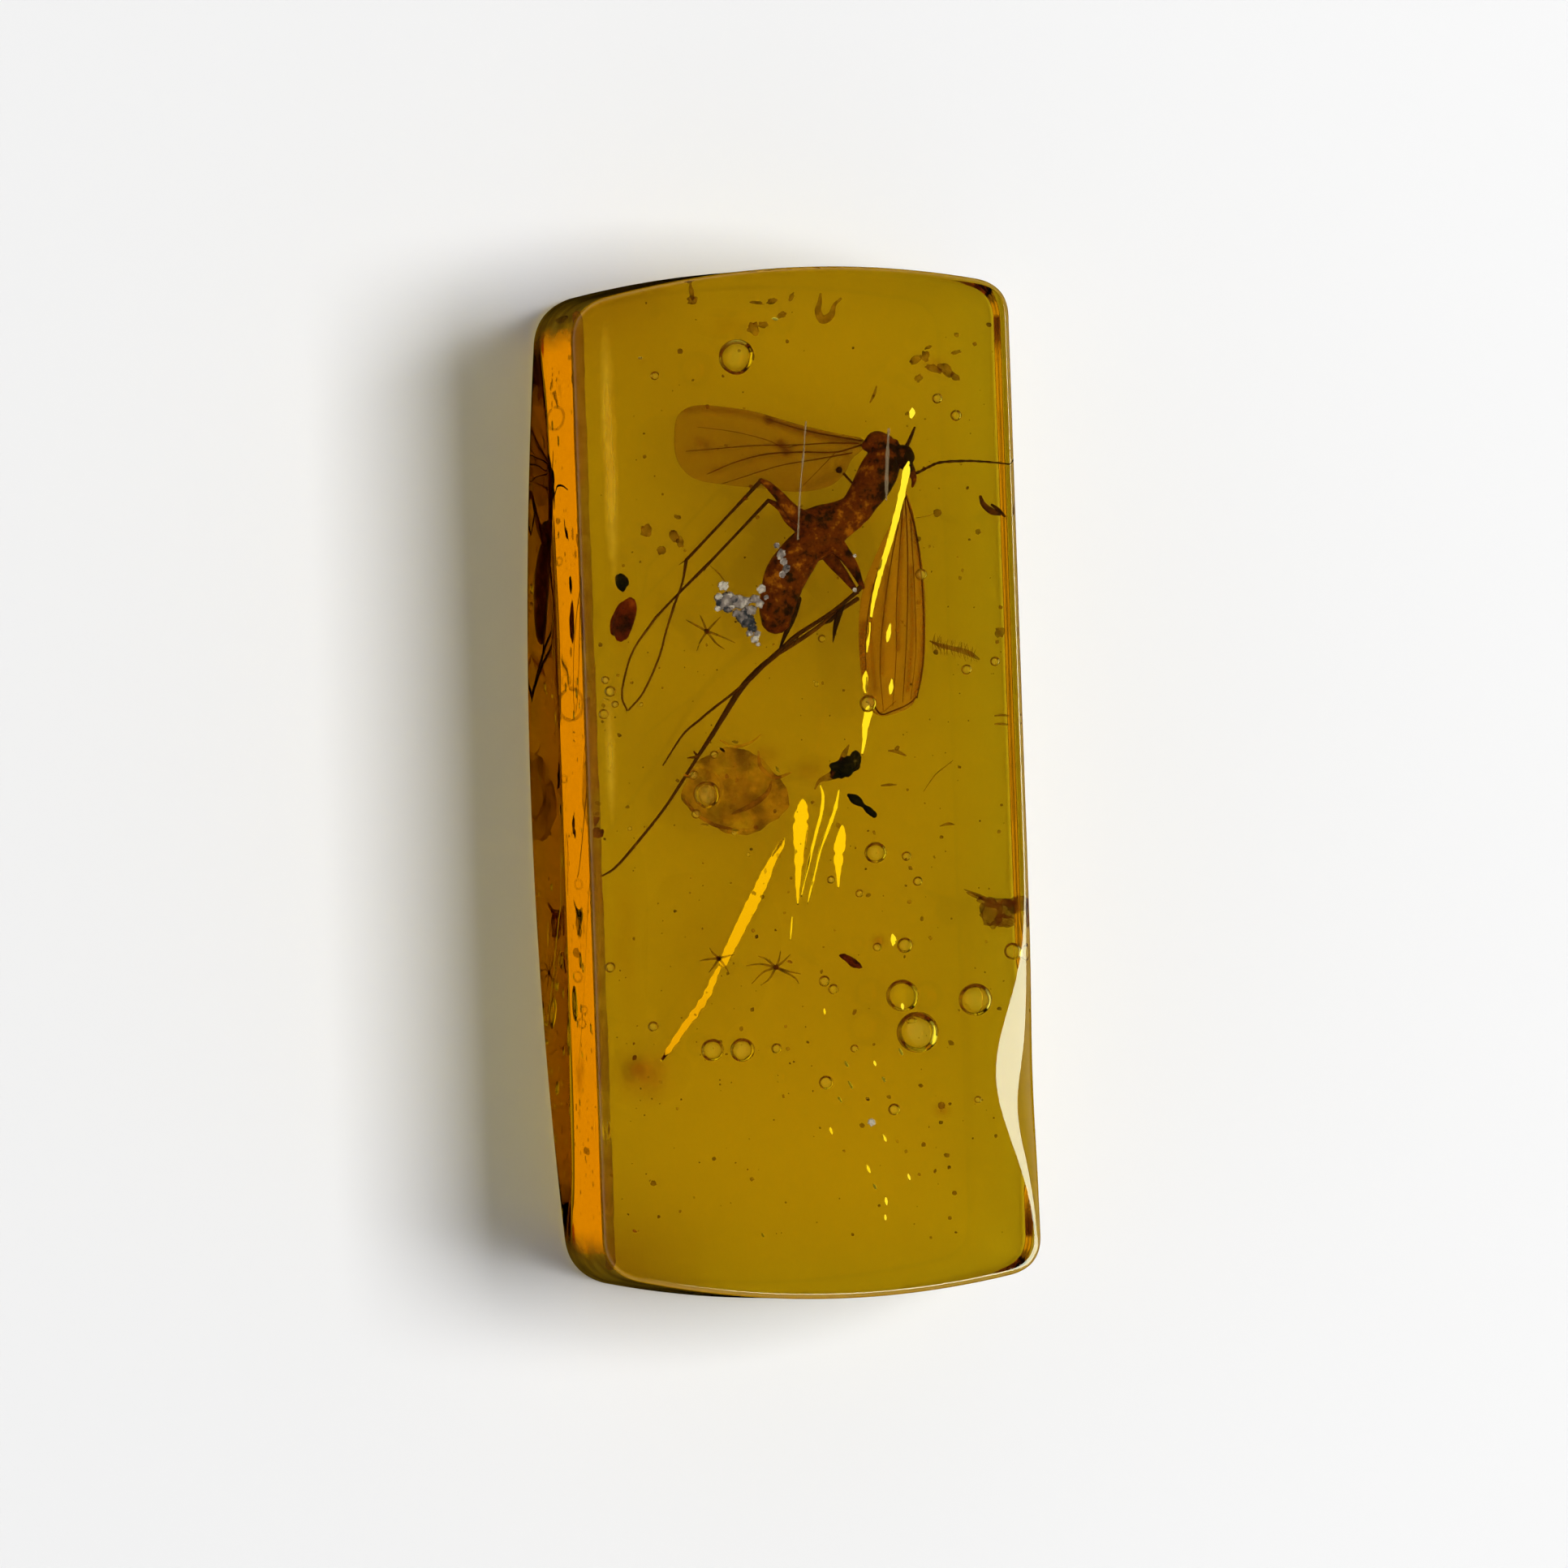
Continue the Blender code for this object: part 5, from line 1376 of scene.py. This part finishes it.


# ---------------------------------------------------------------- debris, froth with painted glints, and specks

@dataclass
class Debris:
    """Grains, seeds, chips and plant bits round the gnat. Places are frame places, sizes millimetres."""

    view: Viewpoint
    layer: float = SPECIMEN_DEPTH

    def spot(self, across: float, down: float, lift: float = 0.0) -> np.ndarray:
        """The slab place of a frame place in the specimen's layer."""
        return self.view.pinned(across, down, self.layer) + np.array([0, 0, lift])

    def line(self, route: Iterable[Spot], steps: int = 6) -> np.ndarray:
        """A smooth route through spots of (across, down, lift, radius)."""
        return smooth_route(self.view.laid(route, self.layer), steps)

    def finish(self, sheaf: Sheaf, name: str, husk: Husk, slot: Slot, *nodes: str) -> None:
        """Make a sheaf a piece with the husk's finish, standing for its nodes, which are hidden."""
        made = sheaf.piece(name, husk.make())
        if nodes:
            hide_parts(*nodes)

    def nugget(self, sheaf: Sheaf, across: float, down: float, half_axes: Sequence[float], heading: float,
               uneven: float, seed: int, tone: float = 0.4, lift: float = 0.0, size: float = 1.2,
               rows: int = 20, columns: int = 28) -> None:
        """Add an uneven ball, with its tone varied by its own lumps."""
        rings = nugget_rings(self.spot(across, down, lift), half_axes, heading, uneven, seed, size, rows, columns)
        points, faces = closed_rings(rings)
        sheaf.add(points, faces, np.clip(tone + 0.22 * lumps(points, seed + 50, 0.4), 0, 1))

    def make_grains(self) -> None:
        """The black grain, the seed with its dark heart and pale shoulder, and the black chip."""
        grain = Sheaf()
        self.nugget(grain, 766, 717, (0.17, 0.22, 0.15), 12, 0.10, 21, 0.1)
        self.finish(grain, "black_grain_body", COAL, Slot.BLACK, "black_grain")
        seed = Sheaf()
        rings = nugget_rings(self.spot(768, 764), (0.30, 0.56, 0.25), -22, 0.10, 22, 1.5, 30, 40)
        points, faces = closed_rings(rings)
        heart = self.spot(766, 770)
        gap = np.linalg.norm((points - heart)[:, :2], axis=1)
        shoulder = np.exp(-(np.linalg.norm((points - self.spot(778, 744))[:, :2], axis=1) / 0.14) ** 2)
        seed.add(points, faces, np.clip(0.18 + 0.9 * np.clip(gap - 0.18, 0, 0.5) + 0.30 * shoulder, 0, 1))
        self.finish(seed, "brown_seed_body", SEED, Slot.BROWN, "brown_seed")
        chip = Sheaf()
        self.nugget(chip, 1040, 946, (0.38, 0.24, 0.17), 24, 0.20, 23, 0.14, size=0.9, rows=28, columns=40)
        self.nugget(chip, 1053, 937, (0.16, 0.24, 0.15), -10, 0.18, 24, 0.60, lift=0.04)
        self.finish(chip, "dark_chip_body", COAL, Slot.BLACK, "dark_chip")
        tail = Sheaf()
        tail.wrap(tube_rings(self.line(((1036, 950, 0, 0.12), (1022, 957, 0, 0.10),
                                                     (1010, 962, 0, 0.05), (1004, 972, 0, 0.02))), 14, 0.6), 0.35)
        tail.wrap(tube_rings(self.line(((1046, 918, 0, 0.02), (1040, 930, 0, 0.08),
                                                     (1036, 944, 0, 0.10))), 14, 0.5), 0.42)
        self.finish(tail, "chip_tail", FAINT_DEBRIS_AND_PAINTED_RINGS, Slot.BROWN)
        fragment = Sheaf()
        fragment.wrap(tube_rings(self.line((
            (1046, 980, 0, 0.05), (1052, 984, 0, 0.12), (1058, 988, 0, 0.11), (1064, 993, 0, 0.055),
            (1070, 998, 0, 0.09), (1077, 1004, 0, 0.08))), 16), 0.2)
        self.finish(fragment, "bark_fragment_body", COAL, Slot.BLACK, "bark_fragment")

    def make_lump(self) -> None:
        """The cloudy resin lump: an uneven clouded ball, with painted shade below and a paler patch at its left rim,
        and a folded rim.
        """
        sheaf = Sheaf()
        rings = nugget_rings(self.spot(909, 977, -0.48), (1.26, 1.00, 0.36), -14, 0.12, 31, 1.3, 40, 64)
        points, faces = closed_rings(rings)
        shade = 0.42 + 0.45 * lumps(points, 32, 0.9)
        # Painted shade below, and a paler patch at the left rim
        shade -= 0.30 * nearness(points, np.array([self.spot(912, 998), self.spot(930, 988),
                                                   self.spot(948, 972)]), 0.22)
        shade += 0.35 * nearness(points, np.array([self.spot(850, 950), self.spot(862, 946)]), 0.2)
        sheaf.add(points, faces, np.clip(shade, 0, 1))
        self.finish(sheaf, "resin_lump_body", CLOUD, Slot.CLOUDY, "resin_lump")
        folds = Sheaf()
        for tone, route in (
            (0.75, ((842, 962, -.1, .03), (852, 950, -.1, .05), (868, 945, -.1, .05), (884, 955, -.1, .045),
                    (891, 975, -.1, .04), (884, 993, -.1, .03))),
            (0.30, ((845, 985, -.1, .02), (858, 1002, -.1, .05), (880, 1016, -.1, .05), (905, 1022, -.1, .03))),
            (0.20, ((902, 1003, -.1, .02), (925, 993, -.1, .07), (945, 978, -.1, .06), (952, 962, -.1, .02))),
            (0.35, ((935, 925, -.1, .02), (938, 945, -.1, .05), (955, 958, -.1, .05), (975, 952, -.1, .02))),
            (0.55, ((888, 912, -.1, .02), (905, 920, -.1, .04), (925, 915, -.1, .03), (938, 905, -.1, .015))),
        ):
            folds.wrap(tube_rings(self.line(route, 8), 12, 0.7), tone)
        self.finish(folds, "resin_lump_folds", CLOUD, Slot.CLOUDY)

    def make_crumbs(self) -> None:
        """Brown crumbs and flakes, each its own piece in place of its node."""
        plain: dict[str, tuple[tuple[float, float, tuple[float, float, float], float, float], ...]] = {
            "crumb_1": ((796, 654, (0.14, 0.15, 0.10), 0, 0.25),),
            "crumb_2": ((815, 678, (0.11, 0.10, 0.09), 40, 0.25),),
            "crumb_3": ((831, 661, (0.11, 0.16, 0.09), 30, 0.25), (838, 668, (0.09, 0.13, 0.08), 10, 0.3),
                        (835, 637, (0.09, 0.05, 0.06), -20, 0.3)),
            "edge_crumb": ((728, 1016, (0.16, 0.24, 0.12), -30, 0.25), (738, 1026, (0.12, 0.12, 0.09), 0, 0.3)),
            "red_rod": ((1048, 1184, (0.10, 0.32, 0.10), 55, 0.16),),
            "debris_flake": ((1128, 443, (0.16, 0.09, 0.08), 30, 0.3), (1140, 439, (0.10, 0.13, 0.07), 0, 0.3),
                             (1150, 454, (0.20, 0.09, 0.08), -20, 0.3), (1166, 456, (0.22, 0.12, 0.09), -35, 0.3),
                             (1176, 464, (0.13, 0.08, 0.07), -40, 0.3), (1132, 466, (0.10, 0.08, 0.06), 20, 0.35),
                             (1178, 434, (0.12, 0.05, 0.05), 10, 0.35), (1144, 428, (0.09, 0.04, 0.05), 20, 0.3)),
            "top_flake": ((928, 404, (0.14, 0.16, 0.08), 10, 0.3), (940, 400, (0.11, 0.08, 0.07), 0, 0.3),
                          (951, 371, (0.12, 0.07, 0.07), 10, 0.3), (932, 373, (0.16, 0.04, 0.05), -8, 0.3),
                          (963, 388, (0.12, 0.07, 0.07), 25, 0.3), (975, 366, (0.05, 0.12, 0.05), -30, 0.3)),
            "top_bit": ((852, 360, (0.06, 0.20, 0.06), 8, 0.2), (853, 370, (0.12, 0.10, 0.09), 20, 0.3)),
        }
        for number, (name, parts) in enumerate(plain.items()):
            sheaf = Sheaf()
            for part, (across, down, half_axes, heading, uneven) in enumerate(parts):
                self.nugget(sheaf, across, down, half_axes, heading, uneven, 60 + 10 * number + part,
                            0.30 if name in ("red_rod", "edge_crumb") else 0.42, size=1.0)
            husk = SEED if name == "red_rod" else BARK if name == "edge_crumb" else FAINT_DEBRIS_AND_PAINTED_RINGS
            self.finish(sheaf, name + "_body", husk, Slot.BROWN, name)

    def make_strands(self) -> None:
        """Bark flake, curled bit, drop, sprig and star hairs, from tubes and small uneven balls."""
        bark = Sheaf()
        for number, (across, down, half_axes, heading) in enumerate((
                (1222, 1124, (0.28, 0.34, 0.12), 10), (1240, 1120, (0.26, 0.22, 0.12), 20),
                (1252, 1114, (0.24, 0.20, 0.12), 0), (1238, 1135, (0.26, 0.14, 0.10), -10),
                (1215, 1112, (0.22, 0.10, 0.08), -28), (1202, 1104, (0.22, 0.05, 0.05), -24))):
            self.nugget(bark, across, down, half_axes, heading, 0.30, 130 + number, 0.34, size=0.9)
        bark.wrap(tube_rings(self.line(((1188, 1096, 0, .012), (1203, 1102, 0, .04),
                                                     (1220, 1110, 0, .08), (1248, 1112, 0, .10))), 12, 0.6), 0.3)
        self.finish(bark, "bark_flake_body", FAINT_DEBRIS_AND_PAINTED_RINGS, Slot.BROWN, "bark_flake")
        curl = Sheaf()
        for route in (((1208, 612, 0, .04), (1212, 622, 0, .07), (1222, 630, 0, .085), (1232, 633, 0, .05)),
                      ((1222, 622, 0, .03), (1230, 628, 0, .05), (1238, 636, 0, .03))):
            curl.wrap(tube_rings(self.line(route), 12, 0.7), 0.22)
        self.finish(curl, "curled_bit_body", BARK, Slot.BROWN, "curled_bit")
        drop = Sheaf()
        for route in (((1011, 362, 0, .03), (1010, 372, 0, .06), (1008, 384, 0, .09), (1014, 394, 0, .11),
                       (1024, 388, 0, .09), (1028, 376, 0, .05), (1036, 368, 0, .03)),):
            drop.wrap(tube_rings(self.line(route), 14, 0.7), 0.4)
        self.finish(drop, "resin_drop_body", FAINT_DEBRIS_AND_PAINTED_RINGS, Slot.BROWN, "resin_drop")
        sprig = Sheaf()
        chance = np.random.default_rng(9)
        stem = self.line(((1146, 790, 0, .02), (1158, 795, 0, .05), (1174, 799, 0, .06), (1192, 804, 0, .07),
                          (1206, 812, 0, .03)), 8)
        sprig.wrap(tube_rings(stem, 10), 0.4)
        for place in stem[2:-4]:
            for side in (-1, 1):
                reach = chance.uniform(0.10, 0.26)
                tip = place[:3] + np.array([chance.uniform(-0.05, 0.12), side * reach, chance.uniform(-.05, .05)])
                hair = np.vstack([np.append(place[:3], 0.014), np.append((place[:3] + tip) / 2, 0.010),
                                  np.append(tip, 0.005)])
                sprig.wrap(tube_rings(hair, 5), 0.45)
        self.finish(sprig, "moss_sprig_body", FAINT_DEBRIS_AND_PAINTED_RINGS, Slot.BROWN, "moss_sprig")
        self.make_stars()

    def make_stars(self) -> None:
        """Star hairs: a small knob, and bent tapering arms that fork near their tips."""
        stars: dict[str, tuple[tuple[float, float], tuple[tuple[tuple[float, float], ...], ...]]] = {
            "stellate_hair_1": ((871, 778), (
                ((855, 769), (846, 764)), ((863, 790), (858, 802)), ((880, 768), (888, 760)),
                ((888, 784), (905, 792)), ((882, 792), (893, 800)), ((866, 766), (862, 758)))),
            "stellate_hair_2": ((886, 1181), (
                ((872, 1182), (862, 1184)), ((878, 1174), (874, 1168)), ((893, 1190), (899, 1200)),
                ((896, 1178), (904, 1176)), ((880, 1190), (874, 1198)))),
            "stellate_hair_3": ((956, 1192), (
                ((938, 1188), (920, 1190)), ((940, 1198), (926, 1212)), ((948, 1206), (938, 1214)),
                ((944, 1182), (934, 1178)), ((966, 1184), (974, 1176)), ((972, 1197), (986, 1200)),
                ((960, 1182), (962, 1172)), ((978, 1204), (984, 1212)))),
        }
        for name, ((across, down), arms) in stars.items():
            sheaf = Sheaf()
            self.nugget(sheaf, across, down, (0.075, 0.075, 0.07), 0, 0.15, 40, 0.2, rows=10, columns=14)
            for number, ((knee_across, knee_down), (tip_across, tip_down)) in enumerate(arms):
                lift = 0.07 if number % 2 else -0.05
                sheaf.wrap(tube_rings(self.line((
                    (across, down, 0, .034), (knee_across, knee_down, lift / 2, .024),
                    (tip_across, tip_down, lift, .010))), 8), 0.3)
            self.finish(sheaf, name + "_body", FAINT_DEBRIS_AND_PAINTED_RINGS, Slot.BROWN, name)

    def make_frosted_bubbles_and_glints(self) -> None:
        """Frosted bubbles just under the polish, pale beads near them that paint glints, and one white bead that
        paints a highlight.
        """
        sheaf = Sheaf()
        # The beads at 1053, 685 and 1053, 727 are painted glints, and the white one at 1074, 1383 is a painted
        # highlight on the polish.
        for across, down, radius, tone in (
                (891, 722, 0.14, 1.0), (893, 741, 0.26, 0.34), (886, 735, 0.10, 0.85), (900, 733, 0.09, 0.7),
                (884, 750, 0.08, 0.9), (912, 742, 0.20, 0.55), (921, 765, 0.20, 0.02), (908, 756, 0.12, 0.25),
                (930, 788, 0.11, 0.95), (924, 780, 0.10, 0.7), (938, 726, 0.12, 0.85), (930, 738, 0.13, 0.5),
                (944, 736, 0.07, 0.35), (962, 683, 0.12, 0.55), (964, 708, 0.09, 0.6), (969, 700, 0.11, 0.35),
                (957, 672, 0.08, 0.5), (1053, 685, 0.05, 0.9), (1053, 727, 0.06, 0.9), (1074, 1383, 0.11, 1.6),
                (934, 794, 0.06, 0.9), (917, 752, 0.08, 0.15), (902, 748, 0.07, 0.75), (915, 760, 0.18, 0.30),
                (925, 752, 0.15, 0.55), (905, 738, 0.12, 0.45), (927, 774, 0.13, 0.20), (936, 744, 0.12, 0.60),
                (920, 741, 0.12, 0.62), (933, 781, 0.09, 0.8), (897, 750, 0.12, 0.2), (966, 692, 0.10, 0.7)):
            place = self.view.pinned(across, down, 0.07 + 0.28 * radius)
            rings = nugget_rings(place, (radius * 0.9, radius * 0.8, radius * 0.25), int(across) % 180, 0.30,
                                 int(across), 0.9, 18, 26)
            points, faces = closed_rings(rings)
            sheaf.add(points, faces, tone + 0.25 * lumps(points, int(down), radius * 1.5))
        self.finish(sheaf, "frosted_bubbles_and_painted_glints", FROSTED_AND_GLINT, Slot.CLOUDY)
        lines = Sheaf()
        for radius, route in ((0.030, ((993, 520), (990, 560), (986, 605), (983, 664))),
                              (0.050, ((1095, 529), (1093, 570), (1092, 616)))):
            rows = np.array(route, dtype=float)
            places = self.view.pinned(rows[:, 0], rows[:, 1], np.full(len(rows), 0.08))
            line = smooth_route(np.column_stack([places, np.full(len(rows), radius)]), 12)
            line[:, 3] *= 0.8 + 0.35 * lumps(line[:, :2], 3, 0.6)
            lines.wrap(tube_rings(line, 8, 0.3), 0.5 + 0.2 * lumps(places, 5, 0.5).mean())
        self.finish(lines, "hairlines", HAIRLINE, Slot.CLOUDY)

    def make_specks(self) -> None:
        """Fine dust through the stone, denser low down and near the gnat, and a few larger dots."""
        chance = np.random.default_rng(77)
        sheaf = Sheaf()
        across, down = chance.uniform(735, 1240, 420), 372 + 1160 * chance.uniform(0, 1, 420) ** 0.8
        depth = chance.uniform(0.6, 5.6, 420)
        radius = 0.016 + 0.05 * chance.uniform(0, 1, 420) ** 3
        for x, y, z, r, tone in zip(across, down, depth, radius, chance.uniform(0.1, 0.8, 420)):
            axes = (r, r * chance.uniform(0.6, 1.4), r)
            rings = nugget_rings(self.view.pinned(x, y, z), axes, chance.uniform(0, 180), 0.3, int(x), 1.0, 6, 8)
            sheaf.wrap(rings, tone)
        for x, y, r in ((838, 433, 0.07), (1160, 1362, 0.09), (1138, 1410, 0.06), (1176, 1470, 0.06),
                        (782, 1303, 0.06), (1232, 779, 0.13), (1233, 748, 0.05), (1205, 655, 0.07),
                        (1155, 632, 0.10), (1201, 424, 0.05), (805, 1458, 0.07), (912, 430, 0.05)):
            rings = nugget_rings(self.spot(x, y), (r, r, r * 0.8), 0, 0.25, int(x), 1.0, 12, 16)
            sheaf.wrap(rings, 0.35)
        for route in (((1095, 925, 0, .02), (1105, 926, 0, .05), (1116, 931, 0, .02)),
                      ((1086, 968, 0, .02), (1095, 967, 0, .035), (1104, 967, 0, .02)),
                      ((1138, 975, 0, .008), (1152, 955, 0, .014), (1164, 945, 0, .014), (1174, 937, 0, .008)),
                      ((1129, 638, 0, .010), (1142, 636, 0, .010), (1152, 632, 0, .012)),
                      ((1070, 872, 0, .02), (1084, 879, 0, .02), (1104, 864, 0, .012)),
                      ((1072, 496, 0, .02), (1077, 486, 0, .04), (1080, 476, 0, .02)),
                      ((875, 697, 0, .008), (885, 706, 0, .02), (893, 716, 0, .01)),
                      ((1226, 882, 0, .02), (1234, 881, 0, .03), (1243, 882, 0, .02)),
                      ((1226, 892, 0, .02), (1234, 892, 0, .03), (1243, 893, 0, .02)),
                      ((1158, 1018, 0, .01), (1168, 1015, 0, .04), (1176, 1016, 0, .01))):
            sheaf.wrap(tube_rings(self.line(route, 5), 8, 0.7), 0.35)
        self.finish(sheaf, "specks", FAINT_DEBRIS_AND_PAINTED_RINGS, Slot.BROWN)

    def make(self) -> None:
        """Make every bit of debris."""
        self.make_grains()
        self.make_lump()
        self.make_crumbs()
        self.make_strands()
        self.make_frosted_bubbles_and_glints()
        self.make_specks()


def main() -> None:
    """Build the studio and every piece of the specimen, in order."""
    logging.basicConfig(level=logging.INFO, format="%(message)s")
    bpy.context.scene.cycles.max_bounces = LIGHT_BOUNCES
    bpy.context.scene.cycles.transmission_bounces = LIGHT_BOUNCES
    view = Viewpoint()
    view.make()
    Studio().make()
    stone, hollows = Stone(), Hollows(view)
    stone.make(hollows)
    hollows.make_painted_bubble_rings()
    rim = Rim(view, stone)
    rim.make_painted_wall_light()
    rim.make_shade()
    rim.make_marks()
    rim.make_glow()
    rim.make_brown_clouds()
    gnat = Gnat(view)
    gnat.make_body()
    gnat.make_limbs()
    for wing in wings(view):
        wing.make()
    Debris(view).make()


if __name__ == "__main__":
    main()
